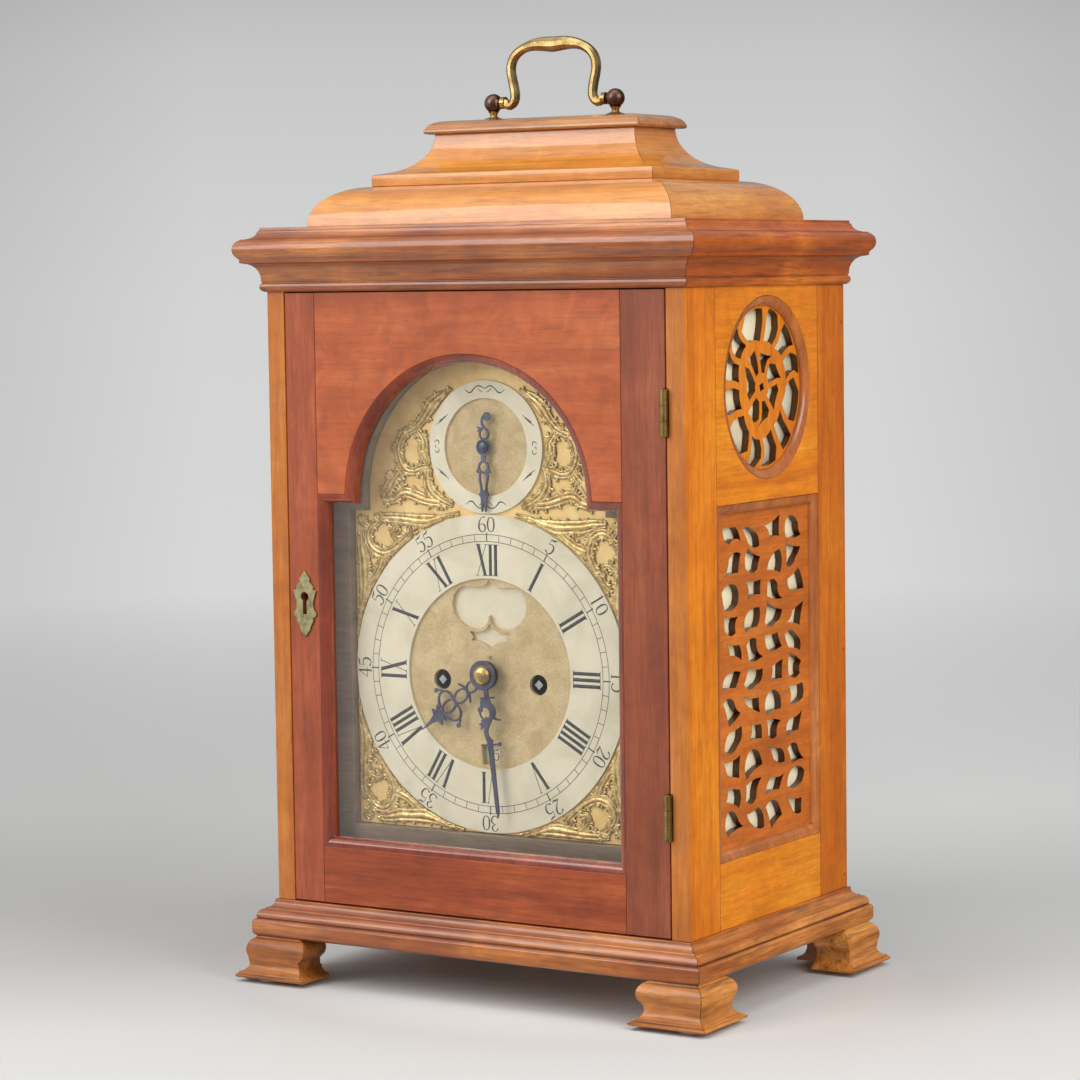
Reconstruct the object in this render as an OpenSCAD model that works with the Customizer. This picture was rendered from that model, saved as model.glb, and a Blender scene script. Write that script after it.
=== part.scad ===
// Bracket clock: mahogany case with a bell top, break-arch dial and a two-train spring movement.
// Millimetres. +Z is up, the dial faces -Y, and the origin is under the middle of the feet.

/* [Case] */
// Width of the case between its outer side faces
case_w = 270; // [262:1:284]
// Depth of the case from the door face to the back face
case_d = 184; // [180:1:200]
// Thickness of the side boards
wall = 11.4; // [10.5:0.1:13]
// Width of the side stiles
side_stile = 33; // [28:1:36]

/* [Base and feet] */
// Thickness of the pads under the feet
pad_h = 2.5; // [1.5:0.5:4]
// Height of the bracket feet
foot_h = 23.5; // [20:0.5:30]
// Length of each foot along the base
foot_w = 42; // [36:1:50]
// Thickness of the foot brackets
foot_t = 13; // [10:0.5:16]
// Height of the base moulding
base_h = 20.5; // [19:0.5:26]

/* [Top] */
// Height of the cornice
cornice_h = 36; // [35:0.5:42]
// Distance from the case face in to the foot of the bell top
bell_in = 16.5; // [14:0.5:20]
// Height of the convex part of the bell top
bell_h = 22.5; // [18:0.5:28]
// Run of the convex part
bell_run = 27; // [24:0.5:30]
// Height of the flat fillet between the two parts
step_h = 6.5; // [4:0.5:9]
// Height of the hollow part
cove_h = 22.9; // [18:0.5:28]
// Run of the hollow part
cove_run = 24.3; // [20:0.1:26]
// Thickness of the cap board
cap_h = 7.6; // [6:0.2:10]
// Overhang of the cap board
cap_over = 5; // [3:0.5:7]

/* [Handle] */
// Distance between the two handle balls
ball_gap = 80.6; // [76:0.2:84]
// Radius of the handle balls
ball_r = 5.3; // [4.8:0.1:6]
// Rise of the grip above the balls
bail_rise = 31.5; // [28:0.5:36]
// Radius of the bail at its sides
bail_r = 2.8; // [2.2:0.1:3]
// Radius of the bail at the grip
grip_r = 4.3; // [3.4:0.1:5]

/* [Front door] */
// Thickness of both doors
door_t = 16; // [14:0.5:18]
// Width of the lock stile
lock_stile = 20; // [19:0.5:23]
// Width of the hinge stile
hinge_stile = 27; // [24:0.5:30]
// Height of the bottom rail
rail_h = 32; // [28:1:36]
// Height of the wood above the arched opening
head_h = 34.1; // [30:0.1:46]
// Radius of the arch in the door
arch_r = 80.5; // [78:0.5:83]
// Width of the moulding that holds the glass
bead_w = 5.5; // [4.5:0.5:7]
// Thickness of the glass
glass_t = 2; // [1.5:0.5:3]
// Gap round both doors
door_gap = 0.7; // [0.4:0.1:1]

/* [Hinges and lock] */
// Distance from a door's end to the middle of its hinge
hinge_inset = 65; // [55:1:75]
// Length of a hinge
hinge_l = 25; // [20:1:30]
// Radius of the hinge knuckles
knuckle_r = 2.1; // [1.9:0.1:2.2]
// Radius of the hinge pins
hinge_pin_r = 1.1; // [0.9:0.1:1.2]
// Height of the keyhole above the foot of the door
keyhole_up = 173.6; // [160:0.2:190]
// Travel of the lock bolt
bolt_throw = 5; // [3:0.5:6]

/* [Dial] */
// Distance from the case face to the dial plate
dial_set = 22.5; // [21:0.5:24]
// Width of the square part of the dial plate
dial_w = 178; // [172:1:182]
// Rise from the square of the dial plate to the shoulders of the door opening
shoulder_rise = 10.2; // [8:0.2:14]
// Strip of wood that shows under the dial plate
sill = 11.8; // [10:0.2:14]
// Strip of the dial plate beside the chapter ring
ring_edge = 0.3; // [0.2:0.1:3]
// Width of the chapter ring
ring_w = 35.5; // [33:0.1:38]
// Outer radius of the strike ring
strike_r = 36.9; // [34:0.1:38]
// Inner radius of the strike ring
strike_in = 27; // [25:0.5:29]
// Radius of the winding holes
wind_hole = 5.7; // [5.2:0.1:6.2]
// Distance of the winding arbors from the middle of the dial
wind_off = 31.6; // [31:0.1:33]
// Drop of the winding arbors below the middle of the dial
wind_drop = 4.5; // [3:0.5:6]
// Reach of the hour hand over the chapter ring
hour_reach = 1.3; // [0:0.1:3]
// Strip of the chapter ring beyond the minute hand
minute_short = 9.7; // [7:0.1:13]
// Length of the strike hand
strike_len = 35.5; // [32:0.5:37]

/* [Movement] */
// Space between the dial plate and the front plate
motion_gap = 17.5; // [17:0.5:19]
// Space between the two movement plates
plate_gap = 59.5; // [59:0.5:64]
// Thickness of the movement plates
plate_t = 2.5; // [2:0.5:3.5]
// Width of the movement plates
plate_w = 150; // [146:1:156]
// Radius of the mainspring barrels
barrel_r = 22; // [20:0.5:23]
// Radius of the bell
bell_r = 40; // [36:1:42]
// Length of the crutch
crutch_l = 42; // [38:1:48]
// Length of the pendulum
pendulum_l = 169; // [160:1:175]
// Radius of the pendulum bob
bob_r = 22; // [18:0.5:24]

/* [Hidden] */
$fn = 64;
eps = 0.01;
run_fit = 0.05;
joint_gap = 0.15;
arch_drop = 2;

// Heights, from the floor up
foot_z = pad_h;
base_z = foot_z + foot_h;
case_z = base_z + base_h;
sight_h = sill + dial_w + shoulder_rise;
case_h = 2 * door_gap + rail_h + sight_h - arch_drop + arch_r + head_h;
top_z = case_z + case_h;
bell_z = top_z + cornice_h;
step_z = bell_z + bell_h;
cap_z = step_z + step_h + cove_h;
post_z = cap_z + cap_h;
ball_z = post_z + 9.8;

// Planes and half sizes
hw = case_w / 2;
hd = case_d / 2;
in_x = hw - wall;
front_y = -hd;
door_back_y = front_y + door_t;
door_z0 = case_z + door_gap;
door_z1 = top_z - door_gap;
door_hw = in_x - 0.8;
foot_out = 18.7;
base_out = 11.2;
board_t = 12;

// Front door opening and the dial behind it
dial_x = (lock_stile - hinge_stile) / 2;
sight_hw = door_hw - (lock_stile + hinge_stile) / 2;
sight_z = door_z0 + rail_h;
shoulder_z = sight_z + sight_h;
arch_z = shoulder_z - arch_drop;
glass_y = front_y + 6;
dial_y = front_y + dial_set;
dial_t = 2.5;
ring_t = 1.5;
ring_r = dial_w / 2 - ring_edge;
ring_in = ring_r - ring_w;
hour_len = ring_in + hour_reach;
minute_len = ring_r - minute_short;
dial_z0 = sight_z + sill;
dial_z = dial_z0 + dial_w / 2;
dial_arch_r = arch_r - 1.5;
strike_z = dial_z + ring_r + strike_r + 0.3;
date_r = ring_in - 7.5;
date_ring_w = 6.4;
name_w = 54;
name_low = 11;

// Rest angles of the hands, clockwise from twelve
minute_turn = 173.3;
hour_turn = 232.3;

// Hinges
hinge_x = in_x - 0.4;
hinge_y = front_y - 2.2;
leaf_t = 1.2;
leaf_d = 14;
hinge_seg = hinge_l / 3;
hinge_zs = [door_z0 + hinge_inset, door_z1 - hinge_inset];

// Lock
lock_x = -door_hw + lock_stile / 2 + 0.8;
keyhole_z = door_z0 + keyhole_up;
keyhole_r = 2.6;
lock_w = 14;
lock_h = 34;
lock_d = 7.5;
bolt_y = 3.5;
bolt_h = 9;
bolt_z = keyhole_z - 9;

// Side openings
round_r = 50;
round_z = top_z - round_r - 5.2;
panel_gap = 11.6;
panel_z0 = case_z + 36.5;
panel_z1 = round_z - round_r - panel_gap;
panel_hy = hd - side_stile;
fret_edge = 5;
fret_cols = 4;
fret_rows = 11;
round_cells = [7, 12];
bead_d = 4;
fret_t = 4;
cloth_t = 0.6;

// Movement planes, front to back
plate_y0 = dial_y + dial_t + motion_gap;
plate_y1 = plate_y0 + plate_t + plate_gap;
plate_x = dial_x;
seat_t = 12;
pivot_r = 1.1;

// Wheel counts and modules
great_n = 96;
strike_great_n = 84;
great_m = 2 * sqrt(wind_off * wind_off + wind_drop * wind_drop) / (great_n + 8);
leaf_n = 8;
centre_n = 84;
centre_m = 0.55;
third_n = 78;
third_m = 0.5;
small_leaf_n = 7;
pin_n = 64;
gather_n = 56;
motion_n = 36;
motion_leaf_n = 6;
hour_n = 72;
motion_m = 0.6;
motion_pitch = motion_m * motion_n;
hour_m = 2 * motion_pitch / (motion_leaf_n + hour_n);

// Arbor places, as offsets from the middle of the dial
going_at = [wind_off, -wind_drop];
strike_at = [-wind_off, -wind_drop];
barrel_off = wind_off + 5.9;
barrel_drop = wind_drop + 53.5;
plate_drop = barrel_drop + barrel_r + 4;
plate_rise = 83;
plate_z0 = dial_z - plate_drop;
pillar_in = 7;
third_at = polar([0, 0], centre_m * (centre_n + small_leaf_n) / 2, 70);
escape_at = [0, third_at[1] + sqrt(pow(third_m * (third_n + small_leaf_n) / 2, 2) - pow(third_at[0], 2))];
escape_r = 17;
pin_circle = 12.2;
verge_at = [0, escape_at[1] + 24];
pin_at = polar(strike_at, great_m * (strike_great_n + leaf_n) / 2, 105);
gather_at = polar(pin_at, third_m * (pin_n + small_leaf_n) / 2, 30);
minute_wheel_at = [0, -motion_pitch];
hammer_at = [17 - plate_w / 2, 60];

// Planes of the wheels
great_y = plate_y1 - 3.5;
strike_great_y = great_y - 5.5;
centre_wheel_y = plate_y0 + plate_t + 5.5;
third_wheel_y = centre_wheel_y + 5;
escape_y = third_wheel_y + 7;
pin_wheel_y = centre_wheel_y + 4;
gather_wheel_y = pin_wheel_y + 14;
cannon_y = plate_y0 - 3;
hour_wheel_y = cannon_y - 4.5;

WALNUT = "saddlebrown";
MAHOGANY = "sienna";
GOLDEN = "peru";
BRASS = "goldenrod";
STEEL = "slategray";
SILVER = "gainsboro";

// A point at a distance and an angle from another
function polar(from, r, a) = [from[0] + r * cos(a), from[1] + r * sin(a)];

// Points along an elliptical arc
function arc(c, rx, ry, a0, a1, n) =
    [for (i = [0:n]) let (a = a0 + (a1 - a0) * i / n) [c[0] + rx * cos(a), c[1] + ry * sin(a)]];

// A 2D shape in X and Z, given a thickness from y0 back to y1
module slab(y0, y1) {
    translate([0, y1, 0]) rotate([90, 0, 0]) linear_extrude(y1 - y0) children();
}

// A 2D shape in Y and Z, given a thickness from x0 to x1
module side_slab(x0, x1) {
    translate([x0, 0, 0]) rotate([90, 0, 90]) linear_extrude(x1 - x0) children();
}

// A cylinder along Y
module rod_y(at, r, y0, y1) {
    translate([at[0], y1, at[1]]) rotate([90, 0, 0]) cylinder(h = y1 - y0, r = r);
}

module mirrored_outline(w, profile) {
    n = len(profile);
    polygon(concat(
        [for (q = profile) [w / 2 + q[0], q[1]]],
        [for (i = [n - 1:-1:0]) [-w / 2 - profile[i][0], profile[i][1]]]));
}

// A block whose four sides carry one moulding, mitred at the corners.
// The profile lists [projection, height] from the bottom up.
module moulded_block(w, d, profile) {
    reach = max([for (q = profile) abs(q[0])]) + 1;
    intersection() {
        rotate([90, 0, 0]) linear_extrude(d + 2 * reach, center = true) mirrored_outline(w, profile);
        rotate([90, 0, 90]) linear_extrude(w + 2 * reach, center = true) mirrored_outline(d, profile);
    }
}

// The space inside a mitred frame moulding, lying in X and Z, at its widest at the front.
// The profile lists [how far the moulding reaches in, depth].
module frame_space(w, h, profile) {
    rotate([90, 0, 0]) mirror([0, 0, 1])
        moulded_block(w, h, [for (q = profile) [-q[0], q[1]]]);
}

function base_profile() = concat(
    [[9.6, 0], [base_out, 1.4], [base_out, base_h - 12.2], [10.2, base_h - 11], [8.8, base_h - 10.6]],
    arc([6.1, base_h - 9.9], 3.4, 4.4, 0, 80, 5),
    [[5.6, base_h - 5.5], [5.6, base_h - 4.8]],
    arc([5.6, base_h - 0.9], 4.1, 3.9, 270, 180, 5),
    [[1.5, base_h]]);

function cornice_profile() = let (s = cornice_h - 36) concat(
    [[1.2, 0], [2.8, 1.2], [3.2, 2.8], [2.8, 4.4], [1.8, 5.2], [2.4, 5.8], [2.4, 7]],
    arc([9.5, 7], 7.1, 9 + s, 180, 90, 6),
    [[11, 16.4 + s], [11, 18.2 + s]],
    arc([9.6, 23.8 + s], 4.4, 5.5, -60, 80, 8),
    arc([10.4, 34 + s], 6.8, 4.6, 270, 180, 5),
    [[2.7, 34.6 + s], [2.7, 36 + s]]);

function bell_profile() = concat([[0, 0], [0, 1]],
    [for (q = arc([-bell_run, 1], bell_run, bell_h - 1, 8, 90, 12)) q]);

function cove_profile() = concat([[0, 0], [0.4, 0.6], [0.4, step_h - 0.8], [0, step_h]],
    [for (q = arc([-1.5, step_h + cove_h], cove_run, cove_h - 0.8, 262, 184, 12)) q],
    [[-cove_run - 1.5, step_h + cove_h]]);

function cap_profile() = concat([[-1.6, 0], [-0.3, 0.5], [0, 1.4], [-0.3, 2.3]],
    [for (q = arc([-11, 2.3], 10.4, cap_h - 2.3, 6, 90, 6)) q]);

function foot_profile() = concat([[18, 0], [foot_out, 1.2], [18, 1.9], [16.9, 2.4], [16.9, 3.3]],
    arc([20.2, 7.6], 7.7, 5.2, 235, 180, 4),
    arc([8.5, foot_h * 0.66], 5.4, 7, -28, 78, 7),
    [[9.4, foot_h]]);

module base_moulding() color(MAHOGANY) difference() {
    translate([0, 0, base_z]) moulded_block(case_w, case_d, base_profile());
    translate([0, 0, base_z + base_h / 2])
        cube([2 * in_x, case_d - 2 * wall, base_h + 2], center = true);
}

module base_board() color(GOLDEN)
    translate([-in_x + joint_gap, -hd + wall + joint_gap, case_z - board_t])
        cube([2 * (in_x - joint_gap), case_d - 2 * (wall + joint_gap), board_t]);

// One foot: two brackets that meet in a mitre, each with an ogee face and an ogee end
module bracket_foot() {
    reach = foot_out + foot_w;
    inset = 4.2;
    corner_x = hw + foot_out;
    corner_y = hd + foot_out;
    end_cut = concat([[-1, -1], [foot_w + 5.5, -1], [foot_w + 5.5, 1.4]],
        arc([foot_w + 5.2, 9.2], 6.6, 7.2, 262, 170, 4),
        arc([foot_w - 4, foot_h * 0.72], 7.2, 6.6, -30, 90, 6),
        [[-1, foot_h + 1]]);
    difference() {
        intersection() {
            translate([0, 0, foot_z]) moulded_block(case_w, case_d, foot_profile());
            translate([corner_x, -corner_y, foot_z]) union() {
                translate([0, foot_t + foot_out, 0]) rotate([90, 0, 0])
                    linear_extrude(foot_t + foot_out + 1) mirror([1, 0]) polygon(end_cut);
                translate([-foot_t - foot_out, 0, 0]) rotate([90, 0, 90])
                    linear_extrude(foot_t + foot_out + 1) polygon(end_cut);
            }
        }
        translate([hw + inset - foot_t - reach, -hd - inset + foot_t, foot_z - 1])
            cube([reach, reach, foot_h + 2]);
    }
}

module bracket_feet() color(MAHOGANY)
    for (sx = [0, 1], sy = [0, 1]) mirror([sx, 0, 0]) mirror([0, sy, 0]) bracket_foot();

module foot_pads() color("wheat")
    for (sx = [-1, 1], sy = [-1, 1])
        translate([sx * (hw + 3), sy * (hd + 3), 0]) cylinder(h = pad_h, r = 8);

// Hinge leaves let into a side board
module leaf_pockets() {
    for (z = hinge_zs)
        translate([in_x - 1, front_y - 1, z - hinge_l / 2 - 0.2])
            cube([1 + leaf_t + 0.2, leaf_d + 1.2, hinge_l + 0.4]);
}

// Two stiles with an upper board and a lower rail between them
module side_boards() {
    difference() {
        side_slab(in_x, hw) translate([-hd, case_z]) square([side_stile, case_h]);
        leaf_pockets();
    }
    side_slab(in_x, hw) translate([hd - side_stile, case_z]) square([side_stile, case_h]);
    side_slab(in_x, hw) difference() {
        translate([-panel_hy + joint_gap, panel_z1]) square([2 * (panel_hy - joint_gap), top_z - panel_z1]);
        translate([0, round_z]) circle(r = round_r);
    }
    side_slab(in_x, hw)
        translate([-panel_hy + joint_gap, case_z]) square([2 * (panel_hy - joint_gap), panel_z0 - case_z]);
}

module right_side() color(GOLDEN) side_boards();

// The left side is the right one turned round, so its hinge pockets lie at the back
module left_side() color(GOLDEN) difference() {
    rotate([0, 0, 180]) side_boards();
    translate([-in_x - bolt_throw - 1, front_y + 9.4, bolt_z - bolt_h / 2 - 0.5])
        cube([bolt_throw + 2, bolt_y + 1.4, bolt_h + 1]);
}

// A side from p to q that bows to its left by a share b of its length
function bowed(p, q, b) = let (d = q - p)
    [for (t = [0:0.25:0.75]) p + t * d + 4 * t * (1 - t) * b * [-d[1], d[0]]];

// Crossings of the bands of the long fret, on a grid bent out of square
function crossing(i, j, w, h) = [
    (i - fret_cols / 2 + (j % 2 == 0 ? 0.16 : -0.16) + 0.13 * sin(67 * i + 115 * j)) * w,
    (j - fret_rows / 2 + 0.22 * sin(137 * i + 71 * j)) * h];

// How far the bands bow, as shares of their lengths
function level_bow(i, j) = 0.17 * sin(191 * i + 83 * j + 20);
function upright_bow(i, j) = 0.2 * sin(97 * i + 149 * j + 60);

// One opening between four bands: one corner runs out into a thorn and the one across from it is blunt
module fret_opening(i, j, w, h) {
    c = [crossing(i, j, w, h), crossing(i + 1, j, w, h), crossing(i + 1, j + 1, w, h), crossing(i, j + 1, w, h)];
    mid = (c[0] + c[1] + c[2] + c[3]) / 4;
    thorn = (2 * i + j) % 4;
    keep = [for (k = [0:3]) k == thorn ? 0.81 : k == (thorn + 2) % 4 ? 0.44 + 0.11 * sin(77 * i + 51 * j) : 0.57];
    v = [for (k = [0:3]) mid + keep[k] * (c[k] - mid)];
    bow = [level_bow(i, j), upright_bow(i + 1, j), -level_bow(i, j + 1), -upright_bow(i, j)];
    polygon([for (k = [0:3]) each bowed(v[k], v[(k + 1) % 4],
        k == thorn || k == (thorn + 3) % 4 ? max(-0.2, min(0.05, bow[k] * 1.3)) : bow[k] * 1.2)]);
}

// Fret in the long panel: bowed bands that meet at knots, in loose rows
module panel_fret_2d() {
    w = 2 * (panel_hy - bead_w - fret_edge) / fret_cols;
    h = (panel_z1 - panel_z0 - 2 * (bead_w + fret_edge)) / fret_rows;
    difference() {
        square([2 * panel_hy - 0.4, panel_z1 - panel_z0 - 0.4], center = true);
        for (i = [0:fret_cols - 1], j = [0:fret_rows - 1]) fret_opening(i, j, w, h);
    }
}

// Radius of the bands between the rings of openings, at an angle
function band_r(n, a) = round_r * (n == 0 ? 0.12 : n == 1 ? 0.5 + 0.05 * sin(3 * a + 40) : 0.93);

// A spoke between two bands, from the inner one out
function spoke(n, i, ts) = let (step = 360 / round_cells[n], a = step * (i + 0.1 * sin(101 * i + 35 * n)),
    bend = (n == 0 ? 0.22 : 0.24) * step * sin(83 * i + 50 * n + 30))
    [for (t = ts) let (b = a + bend * 4 * t * (1 - t) + step * 0.14 * t * (i % 2 == 0 ? 1 : -1),
        r = band_r(n, a) + t * (band_r(n + 1, b) - band_r(n, a))) [r * cos(b), r * sin(b)]];

// Fret in the round opening: two rings of openings between bowed spokes
module round_fret_2d() {
    difference() {
        circle(r = round_r - 0.2);
        rotate(20) square([4.4, 3.8], center = true);
        for (n = [0, 1], i = [0:round_cells[n] - 1]) {
            next = (i + 1) % round_cells[n];
            left = spoke(n, i, [0, 0.33, 0.67, 1]);
            right = spoke(n, next, [1, 0.67, 0.33, 0]);
            c = concat(left, right);
            mid = [for (k = [0, 1]) (left[0][k] + left[3][k] + right[0][k] + right[3][k]) / 4];
            low = mid * (n == 0 ? 0.93 : 0.97);
            keep = n == 0 ? 0.7 : 0.77;
            v = [for (q = c) low + keep * (q - low)];
            polygon(concat([for (k = [0:3]) v[k]], bowed(v[3], v[4], n == 1 ? -0.1 : 0.06), [for (k = [5:7]) v[k]],
                bowed(v[7], v[0], 0.08)));
        }
    }
}

module on_both_sides() {
    children();
    rotate([0, 0, 180]) children();
}

module round_frets() color(GOLDEN) on_both_sides()
    side_slab(hw - bead_d - fret_t, hw - bead_d) translate([0, round_z]) round_fret_2d();

module panel_frets() color("chocolate") on_both_sides()
    side_slab(hw - bead_d - fret_t, hw - bead_d)
        translate([0, (panel_z0 + panel_z1) / 2]) panel_fret_2d();

// Quarter-round bead: reach in and depth, from the face inwards
function bead_profile(w, d) = concat([[-0.4, -0.5], [0.2, 0]], arc([0.8, d], w - 0.8, d - 0.4, 270, 356, 5),
    [[w, d], [w, d + 1]]);

module fret_mouldings() color(MAHOGANY) on_both_sides() {
    translate([hw, 0, round_z]) rotate([0, -90, 0]) rotate_extrude() difference() {
        translate([round_r - bead_w + 0.3, 0.1]) square([bead_w - 0.5, bead_d - 0.1]);
        translate([round_r, 0]) mirror([1, 0]) polygon(concat([[bead_w + 1, -1]], bead_profile(bead_w, bead_d)));
    }
    difference() {
        side_slab(hw - bead_d, hw - 0.1) translate([0, (panel_z0 + panel_z1) / 2])
            square([2 * panel_hy - 0.4, panel_z1 - panel_z0 - 0.4], center = true);
        translate([hw, 0, (panel_z0 + panel_z1) / 2]) rotate([0, 0, 90])
            frame_space(2 * panel_hy, panel_z1 - panel_z0, bead_profile(bead_w, bead_d));
    }
}

module fret_cloths() color("wheat") on_both_sides() {
    side_slab(hw - bead_d - fret_t - 0.1 - cloth_t, hw - bead_d - fret_t - 0.1) {
        translate([0, round_z]) circle(r = round_r - 0.4);
        translate([0, (panel_z0 + panel_z1) / 2])
            square([2 * panel_hy - 0.8, panel_z1 - panel_z0 - 0.8], center = true);
    }
}

// Board between the sides, with a rail behind each door head
module case_top() color(GOLDEN)
    translate([-in_x, door_back_y + 0.5, top_z - board_t])
        cube([2 * in_x, -2 * (door_back_y + 0.5), board_t]);

module cornice() color(MAHOGANY) difference() {
    translate([0, 0, top_z]) moulded_block(case_w, case_d, cornice_profile());
    translate([0, 0, top_z + cornice_h / 2])
        cube([case_w - 2 * wall - 36, case_d - 2 * wall - 36, cornice_h + 2], center = true);
}

module bell_lower() color(GOLDEN) difference() {
    translate([0, 0, bell_z]) moulded_block(case_w - 2 * bell_in, case_d - 2 * bell_in, bell_profile());
    translate([0, 0, bell_z - 1]) linear_extrude(bell_h - 8)
        square([case_w - 2 * (bell_in + bell_run) - 10, case_d - 2 * (bell_in + bell_run) - 10], center = true);
}

module bell_upper() color(GOLDEN)
    translate([0, 0, step_z])
        moulded_block(case_w - 2 * (bell_in + bell_run), case_d - 2 * (bell_in + bell_run), cove_profile());

module cap_board() color(GOLDEN) {
    inset = bell_in + bell_run + cove_run + 1.5 - cap_over;
    difference() {
        translate([0, 0, cap_z]) moulded_block(case_w - 2 * inset, case_d - 2 * inset, cap_profile());
        for (s = [-1, 1]) translate([s * ball_gap / 2, 0, cap_z - 1]) cylinder(h = cap_h + 2, r = 2 + run_fit);
    }
}

// Turned posts: a screw into the cap, a spread foot, a waist and a ball drilled for the bail
module handle_posts() color("darkkhaki")
    for (s = [0, 180]) rotate([0, 0, s]) translate([ball_gap / 2, 0, 0]) difference() {
        union() {
            translate([0, 0, cap_z + 1]) cylinder(h = cap_h, r = 2);
            translate([0, 0, post_z]) rotate_extrude()
                polygon([[0, 0], [6.2, 0], [6.2, 0.5], [4.6, 1.3], [2.5, 1.9], [2, 2.8], [2.4, 4.2], [3.4, 5.2], [0, 5.2]]);
            translate([0, 0, ball_z]) sphere(r = ball_r);
        }
        translate([-ball_r - 1, 0, ball_z]) rotate([0, 90, 0]) cylinder(h = ball_r + 1, r = 1.6 + run_fit);
    }

// Half of the bail's centre line, from the eye beside the ball up to the middle of the grip
function bail_half() = let (e = ball_gap / 2 - ball_r, k = bail_rise / 31.5) [
    [e - 1.2, 0.3], [e - 3.4, -0.7], [e - 6.2, -1.5], [e - 8.7, 0.6], [e - 9.4, 4.5 * k], [e - 8.3, 10.5 * k],
    [e - 6.9, 17 * k], [e - 7.5, 22.5 * k], [e - 10.4, 26.9 * k], [e - 15.8, 30.2 * k], [e - 22.5, 31.8 * k],
    [e - 29, 31.9 * k], [0, bail_rise]];

// Catmull-Rom point between p1 and p2
function spline(p0, p1, p2, p3, t) = 0.5 * (2 * p1 + (p2 - p0) * t + (2 * p0 - 5 * p1 + 4 * p2 - p3) * t * t
    + (3 * p1 - p0 - 3 * p2 + p3) * t * t * t);

function smooth(pts, steps) = let (n = len(pts)) concat(
    [for (i = [0:n - 2], k = [0:steps - 1])
        spline(pts[max(i - 1, 0)], pts[i], pts[i + 1], pts[min(i + 2, n - 1)], k / steps)], [pts[n - 1]]);

// A round bar along a path in X and Z; radii has one value for each point
module bar(path, radii, sides) {
    n = len(path);
    rings = [for (i = [0:n - 1])
        let (d = path[min(i + 1, n - 1)] - path[max(i - 1, 0)], u = d / norm(d))
        for (k = [0:sides - 1]) let (a = 360 * k / sides, r = radii[i])
            [path[i][0] - u[1] * r * cos(a), r * sin(a), path[i][1] + u[0] * r * cos(a)]];
    faces = concat(
        [[for (k = [sides - 1:-1:0]) k]],
        [for (i = [0:n - 2], k = [0:sides - 1]) let (a = i * sides + k, b = i * sides + (k + 1) % sides)
            each [[a, b + sides, a + sides], [a, b, b + sides]]],
        [[for (k = [0:sides - 1]) (n - 1) * sides + k]]);
    polyhedron(rings, faces);
}

module handle_bail() color("darkkhaki") {
    right = smooth(bail_half(), 2);
    n = len(right);
    whole = concat(right, [for (i = [n - 2:-1:0]) [-right[i][0], right[i][1]]]);
    // The grip swells towards the middle
    radii = [for (q = whole) bail_r + (grip_r - bail_r) * pow(max(0, cos(min(90, 90 * abs(q[0]) / 19))), 1.4)];
    translate([0, 0, ball_z]) bar(whole, radii, 10);
    for (s = [0, 180]) rotate([0, 0, s]) translate([ball_gap / 2 - ball_r - 3, 0, ball_z]) rotate([0, 90, 0]) {
        cylinder(h = 2.6, r = 3.4);
        cylinder(h = 6.5, r = 1.6);
    }
}

// The door's opening: a square with a break arch on top
module sight_2d(inset) {
    translate([dial_x - sight_hw + inset, sight_z + inset])
        square([2 * (sight_hw - inset), sight_h - 2 * inset]);
    translate([dial_x, arch_z]) circle(r = arch_r - inset);
}

module door_left_stile() color(MAHOGANY) difference() {
    slab(front_y, door_back_y) translate([-door_hw, door_z0]) square([lock_stile, door_z1 - door_z0]);
    lock_space(0.2);
    keyhole(front_y - 1, door_back_y);
    translate([-door_hw - 1, front_y + 9.6, bolt_z - bolt_h / 2 - 0.3]) cube([lock_stile / 2, bolt_y + 1, bolt_h + 0.6]);
}

module door_right_stile() color(MAHOGANY) difference() {
    slab(front_y, door_back_y)
        translate([door_hw - hinge_stile, door_z0]) square([hinge_stile, door_z1 - door_z0]);
    for (z = hinge_zs) translate([door_hw - leaf_t - 0.2, front_y - 1, z - hinge_l / 2 - 0.2])
        cube([leaf_t + 1, leaf_d + 1.2, hinge_l + 0.4]);
}

module door_arch_panel() color(MAHOGANY) slab(front_y, door_back_y) difference() {
    translate([dial_x - sight_hw + joint_gap, shoulder_z])
        square([2 * (sight_hw - joint_gap), door_z1 - shoulder_z]);
    translate([dial_x, arch_z]) circle(r = arch_r);
}

module door_bottom_rail() color(MAHOGANY) slab(front_y, door_back_y)
    translate([dial_x - sight_hw + joint_gap, door_z0]) square([2 * (sight_hw - joint_gap), rail_h]);

// Ovolo moulding, rebated behind the face, that runs round the whole opening
module door_moulding() color(WALNUT) {
    depth = glass_y - front_y;
    profile = bead_profile(bead_w, depth);
    difference() {
        slab(front_y + 0.4, glass_y) sight_2d(0.1);
        translate([dial_x, front_y, sight_z + sight_h / 2]) frame_space(2 * sight_hw, sight_h, profile);
        translate([dial_x, front_y, arch_z]) rotate([-90, 0, 0]) rotate_extrude()
            polygon(concat([[0, -1]], [for (q = profile) [arch_r - q[0], q[1]]], [[0, depth + 1]]));
    }
}

module door_glass() color("lightcyan", 0.35) slab(glass_y, glass_y + glass_t) sight_2d(0.3);

module keyhole(y0, y1) {
    slab(y0, y1) {
        translate([lock_x, keyhole_z]) circle(r = keyhole_r);
        translate([lock_x - 1.2, keyhole_z - 10]) square([2.4, 10]);
    }
}

module lock_space(gap) {
    translate([lock_x - lock_w / 2 - gap, door_back_y - lock_d - gap, keyhole_z - 20 - gap])
        cube([lock_w + 2 * gap, lock_d + 2 * gap + 1, lock_h + 2 * gap]);
}

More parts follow.
